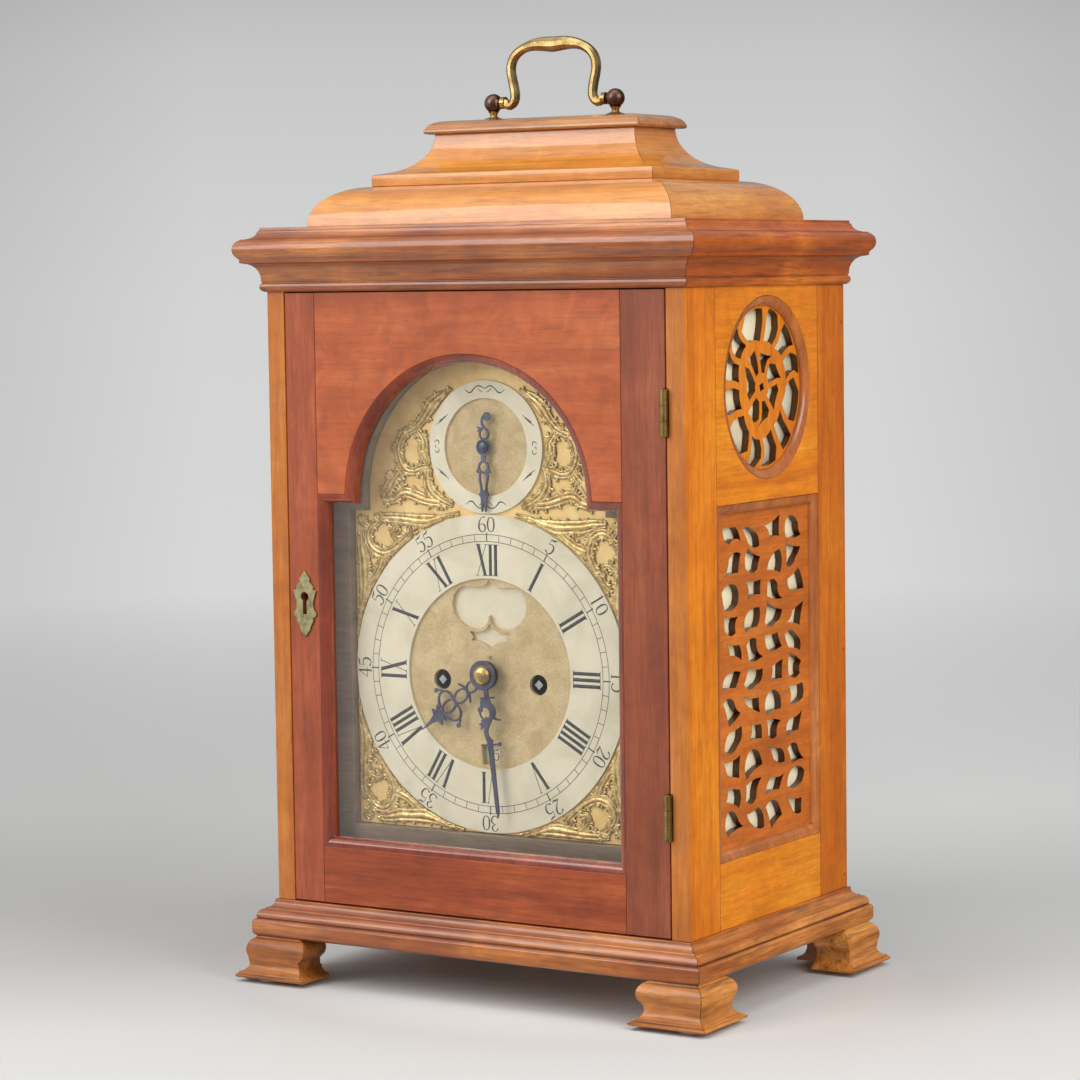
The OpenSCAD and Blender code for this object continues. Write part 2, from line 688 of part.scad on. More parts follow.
// Waved brass plate round the keyhole
module lock_escutcheon() color("darkkhaki") difference() {
    half = [[0, 0], [1.6, 2.1], [3.7, 4.9], [3.2, 6.3], [5.9, 9], [5.6, 10.9], [8, 11.3], [6.9, 14], [5.6, 18.1],
        [5.9, 21.7], [8, 24.3], [7.4, 26], [5.9, 26.4], [5.7, 28.4], [4.3, 31], [3.6, 32.2], [3.4, 33.6], [0, 37.6]];
    n = len(half);
    slab(front_y - 1.2, front_y) translate([lock_x, keyhole_z + 14.8])
        polygon([for (i = [0:2 * n - 2]) i < n ? [half[i][0], -half[i][1]] : [-half[2 * n - 2 - i][0], -half[2 * n - 2 - i][1]]]);
    keyhole(front_y - 2, front_y + 1);
}

module door_lock() color(STEEL) difference() {
    translate([lock_x - lock_w / 2, door_back_y - lock_d, keyhole_z - 20]) cube([lock_w, lock_d, lock_h]);
    keyhole(door_back_y - lock_d - 1, door_back_y - lock_d + 4);
    translate([-door_hw - 1, front_y + 9.6, bolt_z - bolt_h / 2 - 0.3]) cube([lock_stile / 2 + 4, bolt_y + 1, bolt_h + 0.6]);
}

module lock_bolt() color(STEEL)
    translate([-door_hw, front_y + 9.6 + 0.5, bolt_z - bolt_h / 2]) cube([lock_stile / 2, bolt_y, bolt_h]);

// Butt hinge: the case leaf has the middle knuckle and the pin, the door leaf the outer two
module case_leaf() {
    for (z = hinge_zs) difference() {
        union() {
            translate([in_x, front_y + 0.1, z - hinge_l / 2]) cube([leaf_t, leaf_d, hinge_l]);
            translate([hinge_x + 0.4, hinge_y, z - hinge_seg / 2 + 0.1]) cube([leaf_t, 4, hinge_seg - 0.2]);
            translate([hinge_x, hinge_y, z - hinge_seg / 2 + 0.1]) cylinder(h = hinge_seg - 0.2, r = knuckle_r);
            translate([hinge_x, hinge_y, z - hinge_l / 2]) cylinder(h = hinge_l, r = hinge_pin_r);
        }
    }
}

module door_leaf() {
    for (z = hinge_zs) difference() {
        union() {
            translate([door_hw - leaf_t, front_y + 0.1, z - hinge_l / 2]) cube([leaf_t, leaf_d, hinge_l]);
            for (s = [-1, 1]) translate([0, 0, z + s * hinge_seg - hinge_seg / 2 + 0.1]) {
                translate([door_hw - leaf_t, hinge_y, 0]) cube([leaf_t, 4, hinge_seg - 0.2]);
                translate([hinge_x, hinge_y, 0]) cylinder(h = hinge_seg - 0.2, r = knuckle_r);
            }
        }
        translate([hinge_x, hinge_y, z - hinge_l / 2 - 1]) cylinder(h = hinge_l + 2, r = hinge_pin_r + run_fit);
    }
}

module case_hinges() color(BRASS) on_both_sides() case_leaf();
module door_hinges() color(BRASS) door_leaf();
module back_door_hinges() color(BRASS) rotate([0, 0, 180]) door_leaf();

back_stile = 22;

module back_door_frame() color(MAHOGANY) difference() {
    slab(hd - door_t, hd - 0.3) difference() {
        translate([-door_hw, door_z0]) square([2 * door_hw, door_z1 - door_z0]);
        translate([-door_hw + back_stile, door_z0 + rail_h])
            square([2 * (door_hw - back_stile), door_z1 - door_z0 - 2 * rail_h]);
    }
    slab(hd - 6, hd) translate([-door_hw + back_stile - 4, door_z0 + rail_h - 4])
        square([2 * (door_hw - back_stile + 4), door_z1 - door_z0 - 2 * rail_h + 8]);
    rotate([0, 0, 180]) for (z = hinge_zs) translate([door_hw - leaf_t - 0.2, front_y - 1, z - hinge_l / 2 - 0.2])
        cube([leaf_t + 1, leaf_d + 1.2, hinge_l + 0.4]);
}

module back_door_glass() color("lightcyan", 0.35) slab(hd - 6, hd - 6 + glass_t)
    translate([-door_hw + back_stile - 3.8, door_z0 + rail_h - 3.8])
        square([2 * (door_hw - back_stile + 3.8), door_z1 - door_z0 - 2 * rail_h + 7.6]);

latch_at = [hw - wall / 2, case_z + case_h / 2];

// Turn button on the back edge of the right side board
module back_latch() color(BRASS) difference() {
    union() {
        slab(hd + 0.1, hd + 2) {
            translate(latch_at) circle(r = 4.4);
            translate([latch_at[0] - 2.6, latch_at[1] - 2]) square([5.2, 20]);
            translate([latch_at[0], latch_at[1] + 18]) circle(r = 3.4);
        }
        rod_y(latch_at, 2.4, hd + 2, hd + 3);
    }
}

// Wooden frame behind the door that the dial plate lies in
module dial_surround() color(MAHOGANY) slab(door_back_y + 0.5, dial_y + dial_t + 2) difference() {
    translate([-in_x, door_z0]) square([2 * in_x, top_z - board_t - door_z0]);
    dial_2d(-0.3);
}

module dial_2d(inset) {
    translate([dial_x - dial_w / 2 + inset, dial_z0 + inset]) square([dial_w - 2 * inset, dial_w - 2 * inset]);
    translate([dial_x, arch_z]) circle(r = dial_arch_r - inset);
}

dial_foot_at = [for (sx = [-1, 1], z = [dial_z0 + 20, dial_z0 + dial_w - 22]) [dial_x + sx * 66, z]];

module dial_plate() color(BRASS) difference() {
    union() {
        slab(dial_y, dial_y + dial_t) dial_2d(0);
        for (f = dial_foot_at) rod_y(f, 2.5, dial_y + dial_t - eps, plate_y0);
        rod_y([dial_x, dial_z + 9.8], 0.9, dial_y - 2, dial_y + eps);
        for (a = [45:90:315]) let (stud = polar([dial_x, dial_z], date_r + date_ring_w + 1.3, a)) {
            rod_y(stud, 1, dial_y + dial_t - eps, dial_y + dial_t + 2.8);
            rod_y(stud, 2.6, dial_y + dial_t + 2.1, dial_y + dial_t + 2.8);
        }
    }
    rod_y([dial_x, dial_z], 4.6, dial_y - 1, dial_y + dial_t + 1);
    for (s = [-1, 1]) rod_y([dial_x + s * wind_off, dial_z - wind_drop], wind_hole, dial_y - 1, dial_y + dial_t + 1);
    rod_y([dial_x, strike_z], 1.5 + run_fit, dial_y - 1, dial_y + dial_t + 1);
    slab(dial_y - 1, dial_y + dial_t + 1) translate([dial_x, dial_z]) {
        polygon([[-5.4, -date_r - 5.2], [5.4, -date_r - 5.2], [6.2, -date_r + 5.6], [-6.2, -date_r + 5.6]]);
        mirrored_2d(heart_half());
        mirrored_2d(tab_half());
    }
}

// Right halves of the two openings above the middle, from the bottom cusp up to the top one
function heart_half() = [[0, 32.5], [1, 28.8], [3.2, 26.4], [6.5, 25.1], [11, 24.8], [15.5, 25.9], [20.2, 28.9],
    [23.4, 33], [24.4, 38], [23.5, 42.8], [20.6, 46.6], [16.6, 48.5], [12, 48.6], [7.5, 48], [3.6, 48.8],
    [1.4, 50.4], [0, 52.2]];

function tab_half() = [[0, 13.8], [1.4, 15.5], [4, 16.9], [8, 18.1], [12, 18.2], [10.8, 19.7], [11.4, 21.4],
    [13.4, 23.4], [10, 23.1], [5.5, 23.4], [2.2, 25], [0, 28]];

module mirrored_2d(half) {
    polygon(concat(half, [for (i = [len(half) - 2:-1:1]) [-half[i][0], half[i][1]]]));
}

module chapter_ring() color(SILVER) slab(dial_y - ring_t, dial_y) translate([dial_x, dial_z]) difference() {
    circle(r = ring_r);
    circle(r = ring_in);
}

module strike_ring() color(SILVER) slab(dial_y - ring_t, dial_y) translate([dial_x, strike_z]) difference() {
    circle(r = strike_r);
    circle(r = strike_in);
}

// A band along a curved path in the plane; w lists its width at each point
module ribbon(path, w, steps = 2) {
    p = smooth(path, steps);
    widths = smooth(w, steps);
    n = len(p);
    side = [for (i = [0:n - 1])
        let (d = p[min(i + 1, n - 1)] - p[max(i - 1, 0)]) [-d[1], d[0]] / norm(d) * max(0.3, widths[i] / 2)];
    polygon(concat([for (i = [0:n - 1]) p[i] + side[i]], [for (i = [n - 1:-1:0]) p[i] - side[i]]));
}

// Cast corner ornament. The corner is the origin, X runs along the top edge and -Y down the side.
module corner_spandrel_2d() {
    ribbon([[18, -4], [10.5, -7.5], [7.4, -14], [10.6, -21], [19.4, -24.2], [28, -19.6], [35.2, -14], [39.4, -9.4]],
        [2.6, 4, 4.6, 4.8, 4.6, 4.2, 3.6, 2.4]);
    ribbon([[12, -3], [21.9, -3], [30, -3.2], [39, -4], [47.4, -5], [55, -4], [62, -2.6], [70, -1.2]],
        [3, 4.4, 4.4, 5, 6.6, 4.6, 3.2, 1.4]);
    ribbon([[3, -12], [3.4, -20], [5.4, -27], [5.2, -34], [6.2, -43], [5, -53], [3.2, -61], [1.4, -70]],
        [3, 4.6, 6, 5.2, 6.4, 5.4, 3.6, 1.4]);
    ribbon([[32, -4], [27, -7], [24.6, -11.2], [26.4, -14.8], [30.4, -13.6]], [4, 3.2, 3.4, 3, 1.8]);
    ribbon([[18.4, -24.6], [16.6, -30.4], [13.4, -35.6], [9.6, -40.4], [5.4, -43]], [4.6, 4, 4.4, 4, 3.4]);
    ribbon([[2, -2], [6, -6], [11, -9]], [2, 3.6, 3]);
    ribbon([[3.6, -19], [6, -17], [8, -15]], [3, 3, 3]);
    ribbon([[5.4, -27], [8.6, -25.4], [11.6, -22]], [3, 3, 3]);
    translate([17.5, -4.4]) circle(r = 2.6);
    translate([39.6, -9]) circle(r = 2);
    translate([2.6, -12.4]) circle(r = 2.2);
    translate([30.6, -13.4]) circle(r = 1.5);
}

// Cast ornament to the left of the strike ring, whose middle is the origin
module arch_spandrel_2d() {
    ribbon([[-21.7, 31], [-29.4, 28], [-36.2, 23], [-41, 15.6], [-47, 9.6], [-54, 8], [-59.6, -2], [-55.6, -12.6],
        [-49, -15], [-42.4, -12], [-36.4, -11]], [1.6, 4.6, 6, 4, 3.6, 4.6, 4.4, 4.4, 3.6, 3.8, 2.4]);
    ribbon([[-36.8, -11.4], [-40, -18.6], [-36.6, -26], [-30.4, -30.4], [-22.6, -33]], [3.4, 4.8, 5, 4.8, 1.8]);
    ribbon([[-56, -12.6], [-61.4, -18], [-66, -24.8], [-70.4, -30]], [3.8, 4.6, 5.4, 3]);
    ribbon([[-69, -30.6], [-62.4, -31], [-56, -25.6], [-48.4, -27.4], [-40, -30.6], [-31, -31]], [4, 4.4, 4.6, 4.8, 4.4, 4]);
    ribbon([[-56, -25], [-58.6, -19.6], [-56.4, -13]], [2.6, 3, 3]);
    ribbon([[-47, 8.6], [-40.6, 4.4], [-42.6, -3.6], [-38, -10]], [3, 3.8, 6, 3.6]);
    translate([-36.4, 23.4]) circle(r = 3.4);
    translate([-22, 31]) circle(r = 1.8);
}

module spandrels() color(BRASS) slab(dial_y - 2.2, dial_y) {
    translate([dial_x, dial_z]) difference() {
        for (k = [0:3]) rotate(90 * k) translate([-dial_w / 2 + 0.8, dial_w / 2 - 0.8]) corner_spandrel_2d();
        circle(r = ring_r + 0.3);
    }
    translate([dial_x, strike_z]) difference() {
        for (s = [0, 1]) mirror([s, 0]) arch_spandrel_2d();
        circle(r = strike_r + 0.3);
    }
}

// Bare silvered plate behind the two openings above the middle
module name_plate() color(SILVER) slab(dial_y + dial_t, dial_y + dial_t + 0.8) translate([dial_x, dial_z]) difference() {
    intersection() {
        circle(r = ring_in + 3);
        translate([-name_w / 2, name_low]) square([name_w, ring_in]);
    }
    polygon([[-28, 10], [-15, 10], [-28, 28]]);
    polygon([[28, 10], [15, 10], [28, 28]]);
}

module date_ring() color(SILVER) slab(dial_y + dial_t + 1.2, dial_y + dial_t + 2) translate([dial_x, dial_z]) {
    difference() {
        circle(r = date_r + date_ring_w);
        circle(r = date_r - date_ring_w);
        for (k = [0:61]) rotate(k * 360 / 62) translate([date_r + date_ring_w, 0]) circle(r = 0.9, $fn = 6);
    }
}

// An oval loop of wire
module loop_2d(at, rx, ry, t) {
    difference() {
        polygon(arc(at, rx, ry, 0, 340, 17));
        polygon(arc(at, rx - t, ry - t, 0, 340, 17));
    }
}

// Pierced scrolls of the hour hand, pointing up
module hour_hand_2d() {
    difference() {
        circle(r = 7.8);
        circle(r = pipe_r + run_fit);
    }
    loop_2d([0, 11.6], 3.4, 4.7, 1.1);
    loop_2d([0, 20.8], 4, 5.7, 1.1);
    loop_2d([0, 31], 3.7, 5.6, 1.1);
    ribbon([[-6.4, 18], [-3, 16], [0, 15.7], [3, 16], [6.4, 18]], [0.9, 1.2, 1.6, 1.2, 0.9]);
    for (s = [0, 1]) mirror([s, 0]) {
        ribbon([[0.4, 26.4], [5, 25.8], [8.6, 28], [9, 31.8], [6.2, 34.8], [2.2, 36.2]], [1.2, 1.1, 1.2, 1.2, 1.2, 1.4]);
        ribbon([[8.4, 29], [10.4, 29.8], [11.8, 32]], [1, 1, 1]);
        translate([11.9, 32.4]) circle(r = 1.3);
        polygon([[0, 35.5], [2.4, 37.4], [5.4, 37], [3.4, 39.6], [5.6, 41.2], [2.3, 42.4], [1.2, 46], [0.7, 49.5], [0, hour_len]]);
    }
}

// Serpentine minute hand, pointing up
module minute_hand_2d() {
    circle(r = 8.3);
    translate([-2.4, 7]) square([2.6, 6]);
    translate([-6, 12]) square([9.2, 1.1]);
    difference() {
        union() {
            translate([0, 15.8]) circle(r = 3.5);
            translate([-0.5, 20.2]) circle(r = 5.3);
        }
        translate([1, 20.9]) circle(r = 3.1);
    }
    translate([4.1, 18.8]) circle(r = 1.5);
    ribbon([[-4, 23.6], [-6, 24.8], [-8.6, 25.2]], [1.6, 1.1, 0.8]);
    polygon([[0.5, 24.4], [3.6, 24.2], [4, 26], [5.9, 26.6], [4.4, 27.8], [5, 30], [3, 28.4], [1, 28.4]]);
    ribbon([[-1, 24], [1, 28], [1.8, 31.6], [1, 35], [-0.8, 37.8]], [4.4, 3.2, 2.4, 2.6, 4.6]);
    translate([-6.2, 38]) square([12, 1.1]);
    translate([-6.2, 38.5]) circle(r = 1.1);
    polygon([[-1.7, 37], [1.5, 37], [1.1, minute_len - 3], [0, minute_len], [-1, minute_len - 3]]);
}

// Hand for the ring in the arch, pointing down
module strike_hand_2d() {
    circle(r = 4.5);
    loop_2d([0.6, 7.4], 3.4, 3.6, 1.1);
    polygon([[-1.6, 8.4], [-3.8, 8.6], [-3, 9.8], [-3.8, 11.4], [-1.4, 11], [0.2, 10.4]]);
    ribbon([[0.9, 10.4], [-0.7, 13], [-0.5, 15.6], [1, 17.4]], [1.5, 1.4, 1.4, 1.8]);
    translate([2.4, 17]) circle(r = 2.4);
    ribbon([[0, -4], [0, -8]], [3, 2.4]);
    loop_2d([0, -11], 3.6, 3.7, 1.2);
    for (s = [0, 1]) mirror([s, 0]) {
        polygon([[2.6, -9.4], [4.8, -13.6], [4, -14.4], [2.4, -13]]);
        ribbon([[2.2, -13.4], [2.6, -17.5], [1.7, -21.5], [1.5, -25]], [1.2, 1.1, 1.1, 1.6]);
        polygon([[0, -23.8], [1.4, -24], [3.3, -26], [1.9, -28], [1.7, -strike_len], [0.7, -strike_len], [0, 5.5 - strike_len]]);
    }
}

pipe_r = 3.6;
hour_hand_y = dial_y - 5;
minute_hand_y = dial_y - 8.2;

module hour_hand() color("midnightblue") translate([dial_x, 0, dial_z]) rotate([0, hour_turn, 0])
    slab(hour_hand_y, hour_hand_y + 1) hour_hand_2d();

// The minute hand with the domed cap that holds it, and the cannon that turns it
module minute_hand() color("midnightblue") at_dial() {
    rotate([0, minute_turn, 0]) slab(minute_hand_y, minute_hand_y + 1) minute_hand_2d();
    translate([0, minute_hand_y + 0.2, 0]) rotate([90, 0, 0]) rotate_extrude()
        polygon(concat([[0, 0], [5.6, 0]], arc([1.4, 0.6], 4.2, 3.2, 0, 90, 6), [[0, 3.8]]));
    cannon();
}

module strike_hand() color("midnightblue") {
    slab(dial_y - 4, dial_y - 3.1) translate([dial_x, strike_z]) strike_hand_2d();
    rod_y([dial_x, strike_z], 1.5, dial_y - 3.6, dial_y + dial_t + 2);
    rod_y([dial_x, strike_z], 3.2, dial_y + dial_t + 0.3, dial_y + dial_t + 2);
    translate([dial_x, dial_y - 4, strike_z]) rotate([90, 0, 0]) rotate_extrude()
        polygon(concat([[0, -0.2], [3.6, -0.2]], arc([0.8, 0], 2.8, 2, 0, 90, 5), [[0, 2]]));
}

// Slim-toothed clock wheel or pinion outline: n teeth of module m, one tooth at the phase angle
function gear_points(n, m, phase, root, tip) = [for (k = [0:n - 1]) let (a = phase + 360 * k / n, p = 360 / n)
    each [polar([0, 0], m * (n / 2 - 1.2), a - p * root), polar([0, 0], m * (n / 2 + 0.75), a - p * tip),
        polar([0, 0], m * (n / 2 + 0.75), a + p * tip), polar([0, 0], m * (n / 2 - 1.2), a + p * root)]];

// A window between two spokes
function window_points(r0, r1, a0, a1) = concat(
    [for (i = [0:4]) polar([0, 0], r1, a0 + (a1 - a0) * i / 4)],
    [for (i = [2:-1:0]) polar([0, 0], r0, a0 + 4 + (a1 - a0 - 8) * i / 2)]);

// Spoked wheel in X and Z, with a hub
module wheel(at, n, m, phase, y0, t, hub, spokes) {
    rim = m * (n / 2 - 1.2) - 2.2;
    slab(y0, y0 + t) translate(at) difference() {
        polygon(gear_points(n, m, phase, 0.2, 0.09));
        if (spokes > 0) for (i = [0:spokes - 1])
            polygon(window_points(hub, rim, 360 * (i + 0.5) / spokes - 180 / spokes + 9, 360 * (i + 0.5) / spokes + 180 / spokes - 9));
    }
}

module pinion(at, n, m, phase, y0, y1) {
    slab(y0, y1) translate(at) polygon(gear_points(n, m, phase, 0.16, 0.1));
}

// Arbor with a pivot at each plate
module arbor(at, r) {
    rod_y(at, r, plate_y0 + plate_t + 0.2, plate_y1 - 0.2);
    rod_y(at, pivot_r, plate_y0 + 0.2, plate_y1 + plate_t - 0.2);
}

// Angle of the line from one arbor to another
function bearing(a, b) = atan2(b[1] - a[1], b[0] - a[0]);

// Phase that puts a tooth on that line, and one that puts a gap there
function tooth_on(a, b) = bearing(a, b);
function gap_on(a, b, n) = bearing(a, b) + 180 / n;

module at_dial() translate([dial_x, 0, dial_z]) children();

module centre_wheel() color(BRASS) at_dial() {
    c = [0, 0];
    wheel(c, centre_n, centre_m, tooth_on(c, third_at), centre_wheel_y, 1.5, 4, 5);
    pinion(c, leaf_n, great_m, gap_on(c, going_at, leaf_n), great_y - 1.5, great_y + 3);
    rod_y(c, 1.5, plate_y0 + plate_t + 0.2, plate_y1 - 0.2);
    rod_y(c, pivot_r, plate_y0 + 1.3, plate_y1 + plate_t - 0.2);
}

module third_wheel() color(BRASS) at_dial() {
    wheel(third_at, third_n, third_m, tooth_on(third_at, escape_at), third_wheel_y, 1.5, 3.6, 4);
    pinion(third_at, small_leaf_n, centre_m, gap_on(third_at, [0, 0], small_leaf_n), centre_wheel_y - 1.5, centre_wheel_y + 3);
    arbor(third_at, 1.1);
}

module escape_wheel() color(BRASS) at_dial() {
    n = 30;
    slab(escape_y, escape_y + 1.5) translate(escape_at) difference() {
        polygon([for (k = [0:n - 1]) let (a = 360 * k / n)
            each [polar([0, 0], escape_r - 3.2, a), polar([0, 0], escape_r, a + 3), polar([0, 0], escape_r, a + 3.8), polar([0, 0], escape_r - 3.2, a + 6)]]);
        for (i = [0:3]) polygon(window_points(3.4, escape_r - 5.4, 90 * i + 12, 90 * i + 78));
    }
    pinion(escape_at, small_leaf_n, third_m, gap_on(escape_at, third_at, small_leaf_n), third_wheel_y - 1.5, third_wheel_y + 3);
    arbor(escape_at, 1.1);
}

cock_y = plate_y1 + plate_t + 8;
pendulum_y = cock_y + 8;

// Anchor, its arbor and the crutch that drives the pendulum
module pallets() color(STEEL) at_dial() {
    reach = escape_r + 1.7;
    slab(escape_y - 0.8, escape_y + 2.2) translate(verge_at) {
        circle(r = 3.4);
        for (s = [0, 1]) mirror([s, 0])
            polygon([[0, 3.4], [10, 0.6], [15.2, -6.5], [15.2, -11], [reach * 0.7071, -24 + reach * 0.7071], [11.5, -6.2], [7, -3], [0, -3.4]]);
    }
    rod_y(verge_at, 1.5, plate_y0 + plate_t + 0.2, cock_y - 0.2);
    rod_y(verge_at, pivot_r, plate_y0 + 0.2, cock_y + 2.3);
    slab(plate_y1 + plate_t + 2, plate_y1 + plate_t + 4) translate(verge_at) {
        circle(r = 3.4);
        translate([-1.6, -crutch_l]) square([3.2, crutch_l]);
    }
    rod_y([verge_at[0], verge_at[1] - crutch_l + 2], 0.9, plate_y1 + plate_t + 4, pendulum_y - 1.3);
}

// Suspension strip, rod, bob and rating nut
module pendulum() color(BRASS) at_dial() {
    bob_z = verge_at[1] - pendulum_l;
    slab(pendulum_y - 1.5, pendulum_y + 1.5)
        translate([verge_at[0] - 0.2, verge_at[1] - 24]) square([0.4, 30]);
    slab(pendulum_y - 1.6, pendulum_y + 1.6)
        translate([verge_at[0] - 2, verge_at[1] - 26]) square([4, 5]);
    translate([verge_at[0], pendulum_y, bob_z + bob_r - 3]) cylinder(h = pendulum_l - bob_r - 19, r = 1.2);
    translate([verge_at[0], pendulum_y, bob_z]) rotate([90, 0, 0]) rotate_extrude()
        polygon([[0, -4.6], [bob_r * 0.5, -4.2], [bob_r * 0.86, -2.4], [bob_r, -0.5], [bob_r, 0.5],
            [bob_r * 0.86, 2.4], [bob_r * 0.5, 4.2], [0, 4.6]]);
    translate([verge_at[0], pendulum_y, bob_z - bob_r - 6]) cylinder(h = 9, r = 1);
    translate([verge_at[0], pendulum_y, bob_z - bob_r - 4.5]) cylinder(h = 3.4, r = 3.2);
}

// Grooved cone: one ridge for each turn of the line
function fusee_profile(l, r0, r1, turns) = concat([[1.5, 0]],
    [for (i = [0:turns]) let (t = i / turns, r = r0 + (r1 - r0) * pow(t, 0.75)) each [[r, l * t], [r - 0.7, min(l, l * (t + 0.5 / turns))]]],
    [[1.5, l]]);

// Fusee with its great wheel and an arbor that ends in a winding square near the dial
module fusee(at, n, phase, wheel_y) {
    wheel(at, n, great_m, phase, wheel_y, 2.5, 6, 4);
    length = 33;
    translate([at[0], wheel_y + 0.02, at[1]]) rotate([90, 0, 0]) rotate_extrude()
        polygon(fusee_profile(length, 21, 8.4, 12));
    rod_y(at, 2, plate_y0 + plate_t + 0.2, plate_y1 - 0.2);
    rod_y(at, 1.9, plate_y0 - 2, plate_y1 + plate_t - 0.2);
    slab(dial_y + 0.4, plate_y0 - 1.9) translate(at) rotate(45) square(3.8, center = true);
}

module going_fusee() color(BRASS) at_dial() fusee(going_at, great_n, tooth_on(going_at, [0, 0]), great_y);
module strike_fusee() color(BRASS) at_dial()
    fusee(strike_at, strike_great_n, tooth_on(strike_at, pin_at), strike_great_y);

// Mainspring barrel with a lipped cap at each end
module barrel(at) {
    y0 = plate_y0 + plate_t + 5;
    y1 = plate_y1 - 6;
    translate([at[0], y1, at[1]]) rotate([90, 0, 0]) rotate_extrude()
        polygon([[0, 0], [barrel_r + 1.2, 0], [barrel_r + 1.2, 1.8], [barrel_r, 2.2], [barrel_r, y1 - y0 - 2.2],
            [barrel_r + 1.2, y1 - y0 - 1.8], [barrel_r + 1.2, y1 - y0], [0, y1 - y0]]);
    rod_y(at, 2, plate_y0 + plate_t + 0.2, plate_y1 - 0.2);
    rod_y(at, 1.6, plate_y0 + 0.2, plate_y1 + plate_t - 0.2);
}

going_barrel_at = [barrel_off, -barrel_drop];
strike_barrel_at = [-barrel_off, -barrel_drop];

module going_barrel() color(BRASS) at_dial() barrel(going_barrel_at);
module strike_barrel() color(BRASS) at_dial() barrel(strike_barrel_at);

module pin_wheel() color(BRASS) at_dial() {
    wheel(pin_at, pin_n, third_m, tooth_on(pin_at, gather_at), pin_wheel_y, 1.5, 3.6, 4);
    pinion(pin_at, leaf_n, great_m, gap_on(pin_at, strike_at, leaf_n), strike_great_y - 1.5, strike_great_y + 4);
    for (k = [0:7]) rod_y(polar(pin_at, pin_circle, 45 * k), 0.7, pin_wheel_y + 1.4, pin_wheel_y + 5);
    arbor(pin_at, 1.3);
}

module gathering_wheel() color(BRASS) at_dial() {
    wheel(gather_at, gather_n, third_m, 0, gather_wheel_y, 1.5, 3.6, 4);
    pinion(gather_at, small_leaf_n, third_m, gap_on(gather_at, pin_at, small_leaf_n), pin_wheel_y - 1, pin_wheel_y + 2.5);
    arbor(gather_at, 1.1);
}

// Cannon with its wheel, which turns the minute hand
module cannon() {
    slab(cannon_y, cannon_y + 1.5) polygon(gear_points(motion_n, motion_m, tooth_on([0, 0], minute_wheel_at), 0.2, 0.09));
    rod_y([0, 0], 2.4, minute_hand_y + 0.5, cannon_y + 1);
    rod_y([0, 0], pivot_r, cannon_y, plate_y0 + 1.1);
}

module hour_wheel() color(BRASS) at_dial() {
    slab(hour_wheel_y, hour_wheel_y + 1.5) difference() {
        polygon(gear_points(hour_n, hour_m, tooth_on([0, 0], minute_wheel_at), 0.2, 0.09));
        circle(r = 3);
        for (i = [0:3]) polygon(window_points(6, hour_m * hour_n / 2 - 3.4, 90 * i + 12, 90 * i + 78));
    }
    difference() {
        rod_y([0, 0], pipe_r, hour_hand_y - 0.6, hour_wheel_y + 2.2);
        rod_y([0, 0], 2.4 + run_fit, hour_hand_y - 2, hour_wheel_y + 3);
    }
}

module minute_wheel() color(BRASS) at_dial() {
    wheel(minute_wheel_at, motion_n, motion_m, gap_on(minute_wheel_at, [0, 0], motion_n), cannon_y, 1.5, 3, 0);
    pinion(minute_wheel_at, motion_leaf_n, hour_m, gap_on(minute_wheel_at, [0, 0], motion_leaf_n), hour_wheel_y - 1.5, cannon_y + 0.5);
    rod_y(minute_wheel_at, 0.9, hour_wheel_y - 2, plate_y0 + plate_t - 0.2);
}

// Arbors that run in both plates, and the radius of each pivot
pivot_list = [[[0, 0], pivot_r], [third_at, pivot_r], [escape_at, pivot_r], [pin_at, pivot_r], [gather_at, pivot_r],
    [hammer_at, pivot_r], [going_barrel_at, 1.6], [strike_barrel_at, 1.6], [going_at, 1.9], [strike_at, 1.9]];
pillar_at = [for (sx = [-1, 1], z = [pillar_in - plate_drop, plate_rise - pillar_in]) [sx * (plate_w / 2 - pillar_in - 1), z]];

module movement_plate(y0) {
    difference() {
        slab(y0, y0 + plate_t) translate([-plate_w / 2, -plate_drop]) square([plate_w, plate_drop + plate_rise]);
        for (p = pivot_list) rod_y(p[0], p[1] + run_fit, y0 - 1, y0 + plate_t + 1);
        for (p = pillar_at) rod_y(p, 2.5 + run_fit, y0 - 1, y0 + plate_t + 1);
        children();
    }
}

module front_plate() color(BRASS) at_dial() movement_plate(plate_y0) {
    rod_y(verge_at, pivot_r + run_fit, plate_y0 - 1, plate_y0 + plate_t + 1);
    rod_y(minute_wheel_at, 0.9 + run_fit, plate_y0 - 1, plate_y0 + plate_t + 1);
}

